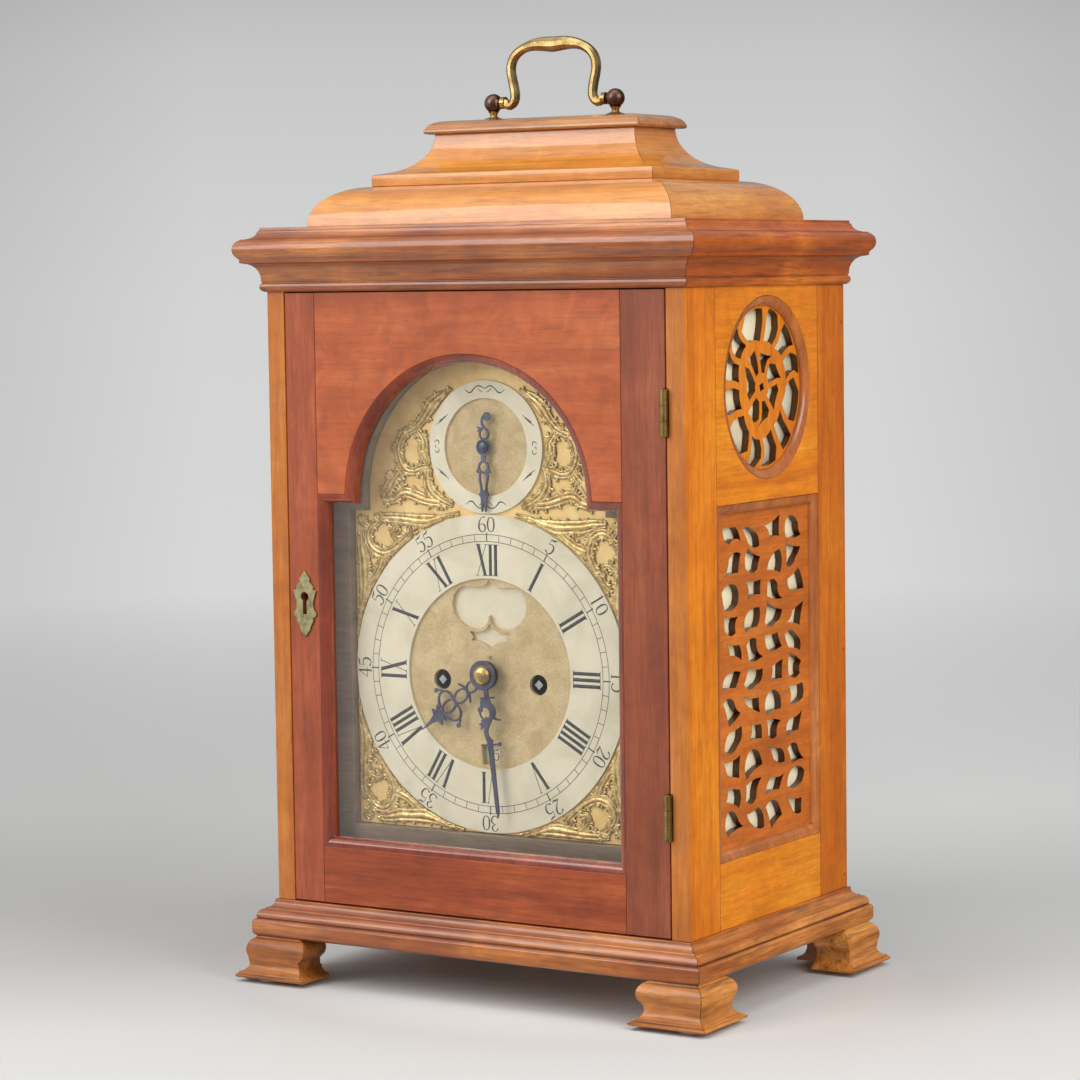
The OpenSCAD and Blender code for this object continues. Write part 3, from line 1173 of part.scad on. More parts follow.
// Back plate with its turned pillars and the cock that carries the pendulum
module back_plate() color(BRASS) at_dial() {
    movement_plate(plate_y1) rod_y(verge_at, 4, plate_y1 - 1, plate_y1 + plate_t + 1);
    for (p = pillar_at) {
        rod_y(p, 2.5, plate_y0 - 1.5, plate_y1 + plate_t + 0.6);
        translate([p[0], plate_y0 + plate_t, p[1]]) rotate([-90, 0, 0]) rotate_extrude()
            polygon(concat([[2.4, 0], [5, 0], [5, 2], [3.2, 3.4]], arc([2.4, plate_gap / 2], 2.6, plate_gap * 0.3, -80, 80, 8),
                [[3.2, plate_gap - 3.4], [5, plate_gap - 2], [5, plate_gap], [2.4, plate_gap]]));
    }
    difference() {
        union() {
            slab(cock_y, cock_y + 2.5) translate([verge_at[0] - 16, verge_at[1] - 9]) square([32, 20]);
            for (s = [-1, 1]) slab(plate_y1 + plate_t, cock_y + 1)
                translate([verge_at[0] + s * 13.5 - 2.5, verge_at[1] - 9]) square([5, 20]);
            slab(cock_y + 2, pendulum_y + 3) translate([verge_at[0] - 4, verge_at[1] + 4.5]) square([8, 6.5]);
        }
        rod_y(verge_at, pivot_r + run_fit, cock_y - 1, cock_y + 3);
        slab(pendulum_y - 2, pendulum_y + 4) translate([verge_at[0] - 1.2, verge_at[1] + 3]) square([2.4, 5]);
    }
}

module seatboard() color(GOLDEN) slab(dial_y + dial_t + 3, plate_y1 + plate_t + 4)
    translate([-in_x, plate_z0 - seat_t]) square([2 * in_x, seat_t]);

bell_at = [0, (plate_y0 + plate_y1) / 2, 110];

// Bell on an iron stand that rises from the back plate
module bell() color(SILVER) at_dial() {
    translate(bell_at) rotate_extrude() polygon(concat(
        [[0, 25.4], [0, 22.9]], arc([bell_r - 23, 2], 20, 20.9, 88, 0, 8), [[bell_r - 1.6, 0], [bell_r, 0]],
        arc([bell_r - 20.5, 2], 20, 23.4, 0, 90, 8)));
    stand_x = 24;
    stand_y = bell_at[1] + bell_r + 4;
    base_y = plate_y1 + plate_t;
    top = bell_at[2] + 25.4;
    translate([stand_x - 4, base_y, 58]) cube([8, stand_y + 2.5 - base_y, 14]);
    translate([stand_x - 4, stand_y, 58]) cube([8, 2.5, top + 4.5 - 58]);
    a = atan2(stand_x, stand_y - bell_at[1]);
    translate([bell_at[0], bell_at[1], top + 1.5]) rotate([0, 0, -a])
        translate([-4, 0, 0]) cube([8, norm([stand_x, stand_y - bell_at[1]]) + 2, 2.5]);
    translate([bell_at[0], bell_at[1], top - 0.4]) cylinder(h = 7, r = 5);
}

// Hammer with its arbor and tail
module hammer() color(STEEL) at_dial() {
    head = [bell_at[0] - bell_r - 5, bell_at[2] + 3];
    y = bell_at[1];
    tail_tip = polar(pin_at, pin_circle + 1.4, bearing(pin_at, hammer_at));
    rod_y(hammer_at, 1.5, plate_y0 + plate_t + 0.2, plate_y1 - 0.2);
    rod_y(hammer_at, pivot_r, plate_y0 + 0.2, plate_y1 + plate_t - 0.2);
    slab(y - 1.5, y + 1.5) {
        translate(hammer_at) circle(r = 3.5);
        polygon([hammer_at + [-1.4, 0], hammer_at + [1.4, 0], head + [1.2, 0], head + [-1.2, 0]]);
    }
    translate([head[0] - 4, y, head[1]]) rotate([0, 90, 0]) cylinder(h = 8, r = 4.5);
    slab(pin_wheel_y + 2.2, pin_wheel_y + 4.2) {
        translate(hammer_at) circle(r = 3.5);
        polygon([hammer_at + [-2, -1], tail_tip + [-0.6, 0], tail_tip + [0.6, 0.4], hammer_at + [2, 1]]);
    }
}

base_moulding();
base_board();
bracket_feet();
foot_pads();
left_side();
right_side();
round_frets();
panel_frets();
fret_mouldings();
fret_cloths();
case_top();
cornice();
bell_lower();
bell_upper();
cap_board();
handle_posts();
handle_bail();
dial_surround();
case_hinges();
door_left_stile();
door_right_stile();
door_arch_panel();
door_bottom_rail();
door_moulding();
door_glass();
lock_escutcheon();
door_lock();
lock_bolt();
door_hinges();
back_door_frame();
back_door_glass();
back_door_hinges();
back_latch();
dial_plate();
chapter_ring();
strike_ring();
spandrels();
name_plate();
date_ring();
hour_hand();
minute_hand();
strike_hand();
hour_wheel();
minute_wheel();
centre_wheel();
third_wheel();
escape_wheel();
pallets();
pendulum();
going_fusee();
going_barrel();
strike_fusee();
strike_barrel();
pin_wheel();
gathering_wheel();
front_plate();
back_plate();
seatboard();
bell();
hammer();
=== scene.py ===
# Bracket clock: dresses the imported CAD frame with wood, brass, silvering, steel, glass and cloth.
import bpy, bmesh, math
from mathutils import Vector, Matrix, noise as field


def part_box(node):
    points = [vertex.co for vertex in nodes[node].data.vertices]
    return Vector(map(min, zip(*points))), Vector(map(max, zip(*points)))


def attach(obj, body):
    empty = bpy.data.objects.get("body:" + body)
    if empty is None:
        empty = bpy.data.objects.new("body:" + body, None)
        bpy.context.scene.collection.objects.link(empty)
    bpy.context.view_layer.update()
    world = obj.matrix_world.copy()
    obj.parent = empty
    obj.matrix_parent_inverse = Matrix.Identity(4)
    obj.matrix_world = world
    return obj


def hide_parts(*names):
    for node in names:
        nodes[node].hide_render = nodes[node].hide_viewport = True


print("loading the frame")
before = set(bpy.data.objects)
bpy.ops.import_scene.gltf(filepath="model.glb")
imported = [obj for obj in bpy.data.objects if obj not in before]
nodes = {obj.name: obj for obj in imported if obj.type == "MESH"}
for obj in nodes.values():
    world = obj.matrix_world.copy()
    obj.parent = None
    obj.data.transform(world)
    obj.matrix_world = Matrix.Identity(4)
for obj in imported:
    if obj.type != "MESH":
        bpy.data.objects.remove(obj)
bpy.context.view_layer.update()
scene = bpy.context.scene
mm = 0.001


# Small helpers

def rgb(r, g, b):  # sRGB 0..255 to linear
    out = []
    for c in (r, g, b):
        c = c / 255
        out.append(c / 12.92 if c <= 0.04045 else ((c + 0.055) / 1.055) ** 2.4)
    return (*out, 1.0)


def grey(level):
    return (level, level, level, 1)


def addObject(name, data):
    obj = bpy.data.objects.new(name, data)
    scene.collection.objects.link(obj)
    return obj


def smoothFaces(mesh):
    for face in mesh.polygons:
        face.use_smooth = True


def newMaterial(name):
    mat = bpy.data.materials.new(name)
    mat.use_nodes = True
    tree = mat.node_tree
    return mat, tree, tree.nodes["Principled BSDF"]


def feed(tree, node, inputs):  # a link or a value for each input
    for key, value in inputs.items():
        if isinstance(value, bpy.types.NodeSocket):
            tree.links.new(value, node.inputs[key])
        else:
            node.inputs[key].default_value = value


def put(tree, kind, inputs=None, **settings):
    node = tree.nodes.new(kind)
    for key, value in settings.items():
        setattr(node, key, value)
    feed(tree, node, inputs or {})
    return node


def calc(tree, operation, a, b=0.0):
    return put(tree, "ShaderNodeMath", {0: a, 1: b}, operation=operation).outputs[0]


def times(tree, a, b):
    return calc(tree, "MULTIPLY", a, b)


def hypotenuse(tree, a, b):
    return calc(tree, "SQRT", calc(tree, "ADD", times(tree, a, a), times(tree, b, b)))


def mixColour(tree, factor, a, b, blend="MIX"):
    node = put(tree, "ShaderNodeMix", {0: factor, 6: a, 7: b}, data_type="RGBA", blend_type=blend)
    return node.outputs[2]


def mixVector(tree, factor, a, b):
    return put(tree, "ShaderNodeMix", {0: factor, 4: a, 5: b}, data_type="VECTOR").outputs[1]


def mixShader(tree, factor, a, b):  # two shaders, straight into the material's output
    both = put(tree, "ShaderNodeMixShader", {0: factor, 1: a.outputs[0], 2: b.outputs[0]})
    tree.links.new(both.outputs[0], tree.nodes["Material Output"].inputs["Surface"])


def tinted(tree, colour, tint):
    return mixColour(tree, 1.0, colour, tint, "MULTIPLY")


def overlaid(tree, colour, over, mask, share):  # another colour where a mask is, up to a share
    return mixColour(tree, times(tree, mask, share), colour, over)


def scaled(tree, colour, by):
    return put(tree, "ShaderNodeVectorMath", {0: colour, 3: by}, operation="SCALE").outputs[0]


def ramp(tree, factor, stops):
    node = put(tree, "ShaderNodeValToRGB", {0: factor})
    band = node.color_ramp
    band.elements[0].position, band.elements[0].color = stops[0]
    band.elements[1].position, band.elements[1].color = stops[-1]
    for position, colour in stops[1:-1]:
        band.elements.new(position).color = colour
    return node.outputs[0]


def spread(tree, value, low, high, toLow=0.0, toHigh=1.0):
    inputs = {0: value, 1: low, 2: high, 3: toLow, 4: toHigh}
    return put(tree, "ShaderNodeMapRange", inputs).outputs[0]


def rampOver(tree, value, low, high, stops, colour):  # a ramp whose stops are given in the value's own units
    placed = [((at - low) / (high - low), colour(level)) for at, level in stops]
    return ramp(tree, spread(tree, value, low, high), placed)


def objectPoint(tree):
    return put(tree, "ShaderNodeTexCoord").outputs["Object"]


def splitPoint(tree, point):
    return put(tree, "ShaderNodeSeparateXYZ", {0: point}).outputs


def stretched(tree, point, scale):
    return put(tree, "ShaderNodeVectorMath", {0: point, 1: scale}, operation="MULTIPLY").outputs[0]


def lengthOf(tree, point):
    return put(tree, "ShaderNodeVectorMath", {0: point}, operation="LENGTH").outputs["Value"]


def noise(tree, point, scale, detail, rough, distortion=0.0):
    inputs = {"Vector": point, "Scale": scale, "Detail": detail, "Roughness": rough, "Distortion": distortion}
    return put(tree, "ShaderNodeTexNoise", inputs).outputs[0]


def bump(tree, shader, height, strength, distance):
    node = put(tree, "ShaderNodeBump", {"Strength": strength, "Distance": distance, "Height": height})
    tree.links.new(node.outputs[0], shader.inputs["Normal"])


# ambient occlusion within the piece: it measures where shade falls, so what it darkens is painted shade
def crevices(tree, reach, low=0.45, high=0.9):  # 1 in the piece's own hollows, 0 in the open
    node = put(tree, "ShaderNodeAmbientOcclusion", {"Distance": reach}, samples=6, only_local=True)
    return spread(tree, node.outputs["AO"], low, high, 1.0, 0.0)


def nearAxis(tree, point, x, z):  # distance from a line along Y, in metres
    p = splitPoint(tree, point)
    return hypotenuse(tree, calc(tree, "SUBTRACT", p[0], x), calc(tree, "SUBTRACT", p[2], z))


# Wood

grainLook = dict(
    squeeze=0.07, sideShift=0.31,  # patterns are drawn out along the grain, the sides start elsewhere
    mitreLine=0.35 * mm, boardLine=0.3 * mm, lineShare=0.75, plugCore=0.6, plugShare=0.7,
    # noises: scale, detail, roughness and distortion, where the bands' scale comes from each wood
    bands=(4, 0.55, 0.8), clouds=(14, 3, 0.5, 0.6), streaks=(700, 5, 0.65), pores=(1900, 2, 0.5),
    marks=(330, 4, 0.65, 0.3), figure=(55, 2, 0.5, 1.5),
    bandShare=0.62, cloudShare=0.38, darkAt=0.3, middleAt=0.5, lightAt=0.68,
    streakCut=(0.4, 0.66), markCut=(0.52, 0.68), poreCut=(0.62, 0.72), figureCut=(0.35, 0.7),
    glossCut=(0.3, 0.7), glossier=0.05, duller=0.09, specular=0.25, dirtReach=3 * mm, relief=0.2,
    streakRelief=0.5, depth=0.12 * mm)


def alongGrain(tree, point, way):
    return stretched(tree, point, [grainLook["squeeze"] if axis == way else 1 for axis in "xyz"])


def mitredGrain(tree, p, w):  # mouldings that meet in mitres at the corners
    halfX, halfY = w["mitre"]
    across = calc(tree, "SUBTRACT", calc(tree, "ABSOLUTE", p[0]), halfX)
    deep = calc(tree, "SUBTRACT", calc(tree, "ABSOLUTE", p[1]), halfY)
    lead = calc(tree, "SUBTRACT", across, deep)
    onSide = calc(tree, "GREATER_THAN", lead, 0.0)
    seam = calc(tree, "LESS_THAN", calc(tree, "ABSOLUTE", lead), grainLook["mitreLine"])
    frontX = times(tree, p[0], grainLook["squeeze"])
    front = put(tree, "ShaderNodeCombineXYZ", {0: frontX, 1: p[1], 2: p[2]})
    sideX = calc(tree, "ADD", p[0], grainLook["sideShift"])
    side = put(tree, "ShaderNodeCombineXYZ", {0: sideX, 1: times(tree, p[1], grainLook["squeeze"]), 2: p[2]})
    return mixVector(tree, onSide, front.outputs[0], side.outputs[0]), onSide, seam


def framedGrain(tree, point, depth, w):  # upright stiles with boards between them that run front to back
    away = calc(tree, "ABSOLUTE", depth)
    onStile = calc(tree, "GREATER_THAN", away, w["board"])
    offJoint = calc(tree, "ABSOLUTE", calc(tree, "SUBTRACT", away, w["board"]))
    seam = calc(tree, "LESS_THAN", offJoint, grainLook["boardLine"])
    boards, stiles = (alongGrain(tree, point, way) for way in "yz")
    return mixVector(tree, onStile, boards, stiles), onStile, seam


def woodMaterial(name, w):
    mat, tree, shader = newMaterial(name)
    point = objectPoint(tree)
    local = splitPoint(tree, point)
    if w["offset"]:  # another piece of the tree
        point = put(tree, "ShaderNodeVectorMath", {0: point, 1: w["offset"]}, operation="ADD").outputs[0]
    seam = None
    if w["grain"] == "around":
        flow, onSide, seam = mitredGrain(tree, splitPoint(tree, point), w)
    elif w["grain"] == "framed":
        flow, onStile, seam = framedGrain(tree, point, local[1], w)
    else:
        flow = alongGrain(tree, point, w["grain"])
    bands = noise(tree, flow, w["bandScale"], *grainLook["bands"])
    streaks = noise(tree, flow, *grainLook["streaks"])
    pores = spread(tree, noise(tree, flow, *grainLook["pores"]), *grainLook["poreCut"])
    marks = spread(tree, noise(tree, flow, *grainLook["marks"]), *grainLook["markCut"])
    clouds = noise(tree, point, *grainLook["clouds"])
    figure = noise(tree, point, *grainLook["figure"])
    tone = calc(tree, "ADD", times(tree, bands, grainLook["bandShare"]),
                times(tree, clouds, grainLook["cloudShare"]))
    colour = ramp(tree, tone, [(grainLook[k + "At"], w[k]) for k in ("dark", "middle", "light")])
    colour = overlaid(tree, colour, w["dark"], spread(tree, streaks, *grainLook["streakCut"]), w["streak"])
    colour = overlaid(tree, colour, w["poreColour"], marks, w["marks"])
    lift = spread(tree, figure, *grainLook["figureCut"], 1.0 - w["figure"], 1.0 + w["figure"])
    colour = overlaid(tree, scaled(tree, colour, lift), w["poreColour"], pores, w["pores"])
    # side faces recoloured for the different light and sheen that falls on them: painted light
    if w["sideTint"]:
        colour = mixColour(tree, onSide, colour, tinted(tree, colour, w["sideTint"]))
    # darker in the piece's own hollows: dirt there, and painted shade from the occlusion mask
    if w["dirt"]:
        colour = overlaid(tree, colour, w["poreColour"], crevices(tree, grainLook["dirtReach"]), w["dirt"])
    if w["grain"] == "framed":
        colour = mixColour(tree, onStile, tinted(tree, colour, w["boardTint"]), colour)
        rear = calc(tree, "GREATER_THAN", local[1], w["board"])
        colour = mixColour(tree, rear, colour, tinted(tree, colour, w["rearTint"]))
    for axis, test, level, tint in w["planes"]:  # other tones beyond or between pairs of planes
        there = calc(tree, test, calc(tree, "ABSOLUTE", local[axis]), level)
        colour = mixColour(tree, there, colour, tinted(tree, colour, tint))
    if seam is not None:
        colour = overlaid(tree, colour, w["poreColour"], seam, grainLook["lineShare"])
    for y, z, radius in w["plugs"]:  # dowel ends, as darker rounds on the side face
        away = hypotenuse(tree, calc(tree, "SUBTRACT", local[1], y), calc(tree, "SUBTRACT", local[2], z))
        inside = spread(tree, away, radius, radius * grainLook["plugCore"], 0.0, grainLook["plugShare"])
        colour = mixColour(tree, inside, colour, w["poreColour"])
    bright, dull = w["gloss"] - grainLook["glossier"], w["gloss"] + grainLook["duller"]
    roughness = spread(tree, streaks, *grainLook["glossCut"], bright, dull)
    feed(tree, shader, {"Base Color": colour, "Roughness": roughness,
                        "Specular IOR Level": grainLook["specular"], "Coat Weight": w["polish"],
                        "Coat Roughness": w["shine"]})
    height = calc(tree, "SUBTRACT", times(tree, streaks, grainLook["streakRelief"]), pores)
    bump(tree, shader, height, grainLook["relief"], grainLook["depth"])
    return mat


def timber(dark, middle, light, poreColour, gloss, **more):  # colours in sRGB, then the varnish's roughness
    look = dict(offset=None, sideTint=None, planes=(), plugs=(), bandScale=60, streak=0.5, marks=0.25,
                figure=0.08, pores=0.35, dirt=0, polish=0.35, shine=0.22, gloss=gloss, dark=rgb(*dark),
                middle=rgb(*middle), light=rgb(*light), poreColour=rgb(*poreColour))
    look.update(more)
    return look


print("mixing the woods")
woods = {
    "redDoor": timber((150, 68, 33), (182, 92, 50), (200, 114, 66), (96, 42, 22), 0.36,
                      marks=0.1, streak=0.4, figure=0.14),
    "stile": timber((131, 61, 33), (168, 82, 48), (188, 102, 64), (79, 36, 22), 0.36),
    "railWood": timber((113, 47, 19), (157, 70, 33), (182, 92, 47), (70, 29, 13), 0.36),
    "bead": timber((92, 32, 14), (136, 54, 28), (168, 76, 42), (46, 16, 8), 0.16,
                   polish=1.0, shine=0.12, dirt=0.5),
    "moulding": timber((112, 54, 18), (160, 84, 34), (214, 136, 66), (58, 25, 9), 0.34,
                       polish=0.8, shine=0.09, dirt=0.9, marks=0.45),
    "golden": timber((192, 94, 6), (226, 128, 10), (240, 152, 28), (136, 62, 10), 0.36, dirt=0.5),
    "fretWood": timber((170, 84, 19), (206, 110, 28), (222, 128, 40), (114, 53, 16), 0.36,
                       polish=0.5, shine=0.15),
    "top": timber((180, 104, 36), (210, 136, 54), (232, 164, 80), (112, 58, 18), 0.32,
                  polish=1.0, shine=0.07, dirt=0.6, marks=0.35),
    "footWood": timber((120, 64, 22), (176, 105, 46), (212, 144, 76), (62, 32, 14), 0.4, dirt=0.7, marks=0.6),
    "rimWood": timber((146, 78, 30), (190, 108, 48), (214, 136, 72), (76, 34, 14), 0.22,
                      polish=0.9, shine=0.1, dirt=0.8),
    "capWood": timber((132, 76, 34), (170, 106, 54), (196, 134, 76), (84, 44, 20), 0.3,
                      polish=1.0, shine=0.08, marks=0.4),
    # grey-brown surround wood, greyed further as a painted glass reflection and painted shade
    "greyWoodPaintedVeil": timber((110, 92, 78), (140, 119, 101), (158, 136, 114), (80, 66, 56), 0.5),
    "inner": timber((120, 78, 44), (150, 104, 64), (170, 124, 82), (90, 56, 30), 0.6, polish=0.0),
}


def wood(kind, grain, name, **more):
    return woodMaterial(name, dict(woods[kind], grain=grain, **more))


# Metals

metalLook = dict(darkAt=0.32, lightAt=0.66, roughCut=(0.3, 0.7), rougher=0.08, depth=0.2 * mm,
                 speckle=(1500, 2, 0.6), speckleCut=(0.42, 0.6), speckleColour=rgb(120, 98, 62),
                 lowShare=0.85, creviceReach=1.2 * mm, creviceCut=(0.3, 0.75), creviceShare=0.6)


def metalMaterial(name, dark, light, rough, **more):  # colours in sRGB
    m = dict(cloudScale=90, grainScale=2600, relief=0.15, metal=1.0, patches=None, grime=None)
    m.update(more)
    mat, tree, shader = newMaterial(name)
    point = objectPoint(tree)
    cloudy = noise(tree, point, m["cloudScale"], 4, 0.6, 0.4)

    def clouded(dark, light):
        return ramp(tree, cloudy, [(metalLook["darkAt"], rgb(*dark)), (metalLook["lightAt"], rgb(*light))])

    colour = clouded(dark, light)
    roughness = spread(tree, cloudy, *metalLook["roughCut"], rough + metalLook["rougher"], rough)
    height = noise(tree, point, m["grainScale"], 3, 0.6)
    patches = m["patches"]
    if patches:  # a second finish where a mask says so
        mask = patches["mask"](tree, point)
        second = clouded(patches["dark"], patches["light"])
        if "speckle" in patches:
            grains = noise(tree, point, *metalLook["speckle"])
            share = spread(tree, grains, *metalLook["speckleCut"], patches["speckle"], 0.0)
            second = mixColour(tree, share, second, metalLook["speckleColour"])
        colour = mixColour(tree, mask, colour, second)
        roughness = put(tree, "ShaderNodeMix", {0: mask, 2: roughness, 3: patches["rough"]}).outputs[0]
        if "relief" in patches:
            rise = calc(tree, "ADD", times(tree, mask, patches["relief"]), patches["flatRelief"])
            height = times(tree, height, rise)
    if m["grime"]:  # painted shade: dark where the casting meets its ground and between its leaves
        depth = splitPoint(tree, point)[1]
        low = spread(tree, depth, m["shadeFrom"], m["shadeTo"], 0.0, metalLook["lowShare"])
        hollows = crevices(tree, metalLook["creviceReach"], *metalLook["creviceCut"])
        dirty = calc(tree, "MAXIMUM", low, times(tree, hollows, metalLook["creviceShare"]))
        colour = mixColour(tree, dirty, colour, m["grime"])
    feed(tree, shader, {"Base Color": colour, "Roughness": roughness, "Metallic": m["metal"]})
    bump(tree, shader, height, m["relief"], metalLook["depth"])
    return mat


dial = dict(x=-3.5 * mm, z=180 * mm, strikeZ=305.9 * mm, face=-69.5 * mm, ring=-71.0 * mm,
            ringOut=88.7 * mm, ringIn=53.2 * mm, strikeOut=36.9 * mm, strikeIn=27 * mm)
capParts = dict(radius=5.75 * mm, front=-77.75 * mm, back=-72 * mm)  # brass before and behind the hand
matting = dict(overlap=0.4 * mm)  # how far the matted ground runs under the rings


def mattedCentres(tree, point):
    centres = []
    for height, radius in ((dial["z"], dial["ringIn"]), (dial["strikeZ"], dial["strikeIn"])):
        reach = radius + matting["overlap"]
        centres.append(calc(tree, "LESS_THAN", nearAxis(tree, point, dial["x"], height), reach))
    return calc(tree, "MAXIMUM", *centres)


def capDome(tree, point):
    y = splitPoint(tree, point)[1]
    near = calc(tree, "LESS_THAN", nearAxis(tree, point, dial["x"], dial["z"]), capParts["radius"])
    ahead = calc(tree, "LESS_THAN", y, capParts["front"])
    behind = calc(tree, "GREATER_THAN", y, capParts["back"])
    return calc(tree, "MAXIMUM", times(tree, near, ahead), behind)


def beyond(axis, test, level):  # a mask that is 1 on one side of a plane
    return lambda tree, point: calc(tree, test, splitPoint(tree, point)[axis], level)


print("mixing the metals")
gilt = metalMaterial("giltDialPlate", (236, 194, 122), (250, 216, 150), 0.5, relief=0.5, metal=0.35,
                     patches=dict(mask=mattedCentres, dark=(208, 180, 134), light=(232, 206, 162), rough=0.66,
                                  relief=1.2, flatRelief=0.1, speckle=0.26))
# the casting's dark colour is painted shade, laid near its ground and in its hollows
casting = metalMaterial("giltCasting", (186, 140, 72), (252, 224, 160), 0.3, relief=0.9, grainScale=620,
                        cloudScale=330, metal=0.55, shadeFrom=-70.9 * mm, shadeTo=-69.8 * mm,
                        grime=rgb(84, 58, 26))
silvered = metalMaterial("silveredRing", (220, 208, 182), (238, 226, 202), 0.5, relief=0.06,
                         cloudScale=40, metal=0.2)
bluedSteel = metalMaterial("bluedSteel", (74, 76, 94), (112, 112, 130), 0.34, metal=0.85)
bluedWithCap = metalMaterial("bluedSteelBrassCap", (74, 76, 94), (112, 112, 130), 0.34,
                             patches=dict(mask=capDome, dark=(176, 140, 84), light=(214, 180, 120),
                                          rough=0.22))
oldBrass = metalMaterial("oldBrass", (112, 90, 46), (166, 140, 84), 0.3, relief=0.12, cloudScale=140)
handleBrass = metalMaterial("handleBrass", (122, 100, 56), (175, 151, 104), 0.2, relief=0.12, cloudScale=120)
postMetal = metalMaterial("postMetal", (128, 100, 56), (176, 146, 92), 0.28,
                          patches=dict(mask=beyond(2, "GREATER_THAN", 493 * mm),  # the balls
                                       dark=(70, 50, 42), light=(112, 84, 70), rough=0.3))
escutcheonBrass = metalMaterial("escutcheonBrass", (120, 112, 78), (176, 168, 128), 0.38, relief=0.2,
                                cloudScale=260)
movementBrass = metalMaterial("movementBrass", (190, 150, 80), (222, 186, 116), 0.3, relief=0.1)
fuseeMetal = metalMaterial("fuseeMetal", (190, 150, 80), (222, 186, 116), 0.3, relief=0.1,
                           patches=dict(mask=beyond(1, "LESS_THAN", -50 * mm),  # ahead of the front plate
                                        dark=(176, 176, 178), light=(214, 214, 216), rough=0.25))
pendulumMetal = metalMaterial("pendulumMetal", (190, 150, 80), (222, 186, 116), 0.3, relief=0.1,
                              patches=dict(mask=beyond(2, "GREATER_THAN", 102 * mm),  # above the bob
                                           dark=(110, 110, 112), light=(150, 150, 154), rough=0.35))
brightSteel = metalMaterial("brightSteel", (120, 120, 124), (168, 168, 172), 0.32, relief=0.1)
bellMetal = metalMaterial("bellMetal", (168, 150, 118), (206, 190, 156), 0.28, relief=0.08)


# Wax, glass, cloth and felt

waxLook = dict(grain=(700, 3, 0.6), dark=(48, 50, 54), light=(92, 92, 92), darkAt=0.3, lightAt=0.75,
               rough=0.6)
glassLook = dict(clear=(0.975, 0.985, 0.98, 1), rough=0.03, bending=1.5, share=1.6, waves=(22, 2, 0.5),
                 relief=0.08, depth=1 * mm)
clothLook = dict(grain=(30, 4, 0.6), dark=(244, 226, 182), light=(255, 246, 214), darkAt=0.3, lightAt=0.7,
                 rough=0.9, threads=6283 / 0.7,  # in radians for each metre, a thread each 0.7 mm
                 gaps=(196, 174, 132), gapCut=(-0.6, 1.0, 0.16, 0.0), sheen=0.2, relief=0.5, depth=0.1 * mm)
feltLook = dict(grain=(900, 4, 0.7), dark=(196, 188, 170), light=(226, 218, 202), darkAt=0.3, lightAt=0.7,
                rough=0.85, fibres=(2500, 3, 0.7), relief=0.3, depth=0.2 * mm)


def mottledMaterial(name, look):  # one finish in two tones of a colour
    mat, tree, shader = newMaterial(name)
    point = objectPoint(tree)
    stops = [(look[tone + "At"], rgb(*look[tone])) for tone in ("dark", "light")]
    colour = ramp(tree, noise(tree, point, *look["grain"]), stops)
    feed(tree, shader, {"Base Color": colour, "Roughness": look["rough"]})
    return mat, tree, shader, point, colour


def glassMaterial():
    mat, tree, shader = newMaterial("oldGlass")
    tree.nodes.remove(shader)
    clear = put(tree, "ShaderNodeBsdfTransparent", {0: glassLook["clear"]})
    gloss = put(tree, "ShaderNodeBsdfGlossy", {"Roughness": glassLook["rough"], "Color": grey(1)})
    waves = noise(tree, objectPoint(tree), *glassLook["waves"])
    bump(tree, gloss, waves, glassLook["relief"], glassLook["depth"])
    bend = put(tree, "ShaderNodeFresnel", {"IOR": glassLook["bending"]}).outputs[0]
    outward = calc(tree, "SUBTRACT", 1.0, put(tree, "ShaderNodeNewGeometry").outputs["Backfacing"])
    mixShader(tree, times(tree, bend, times(tree, outward, glassLook["share"])), clear, gloss)
    return mat


def clothMaterial():
    mat, tree, shader, point, colour = mottledMaterial("fretCloth", clothLook)
    p = splitPoint(tree, point)
    warp, weft = (calc(tree, "SINE", times(tree, p[k], clothLook["threads"])) for k in (1, 2))
    weave = times(tree, warp, weft)
    colour = mixColour(tree, spread(tree, weave, *clothLook["gapCut"]), colour, rgb(*clothLook["gaps"]))
    feed(tree, shader, {"Base Color": colour, "Sheen Weight": clothLook["sheen"]})
    bump(tree, shader, weave, clothLook["relief"], clothLook["depth"])
    return mat


def feltMaterial():
    mat, tree, shader, point = mottledMaterial("feltPad", feltLook)[:4]
    bump(tree, shader, noise(tree, point, *feltLook["fibres"]), feltLook["relief"], feltLook["depth"])
    return mat


wax = mottledMaterial("engravingWax", waxLook)[0]  # fills the engraving
glass, cloth, felt = glassMaterial(), clothMaterial(), feltMaterial()

print("dressing the CAD nodes")
edges = dict(weld=0.002 * mm, flats=0.4, steps=2, sharpFrom=35, weight=80)  # angles in degrees


def dress(node, material, soften):
    obj = nodes[node]
    obj.data.materials.clear()
    obj.data.materials.append(material)
    smoothFaces(obj.data)
    weld = obj.modifiers.new("weld", "WELD")
    weld.merge_threshold = edges["weld"]
    if not soften:
        split = obj.modifiers.new("crisp", "EDGE_SPLIT")
        split.split_angle = math.radians(edges["sharpFrom"])
        return
    flat = obj.modifiers.new("joinFlats", "DECIMATE")
    flat.decimate_type = "DISSOLVE"
    flat.angle_limit = math.radians(edges["flats"])
    edge = obj.modifiers.new("rubbedEdges", "BEVEL")
    edge.width = soften * mm
    edge.segments = edges["steps"]
    edge.limit_method = "ANGLE"
    edge.angle_limit = math.radians(edges["sharpFrom"])
    edge.use_clamp_overlap = False
    shade = obj.modifiers.new("shade", "WEIGHTED_NORMAL")
    shade.keep_sharp = True
    shade.weight = edges["weight"]


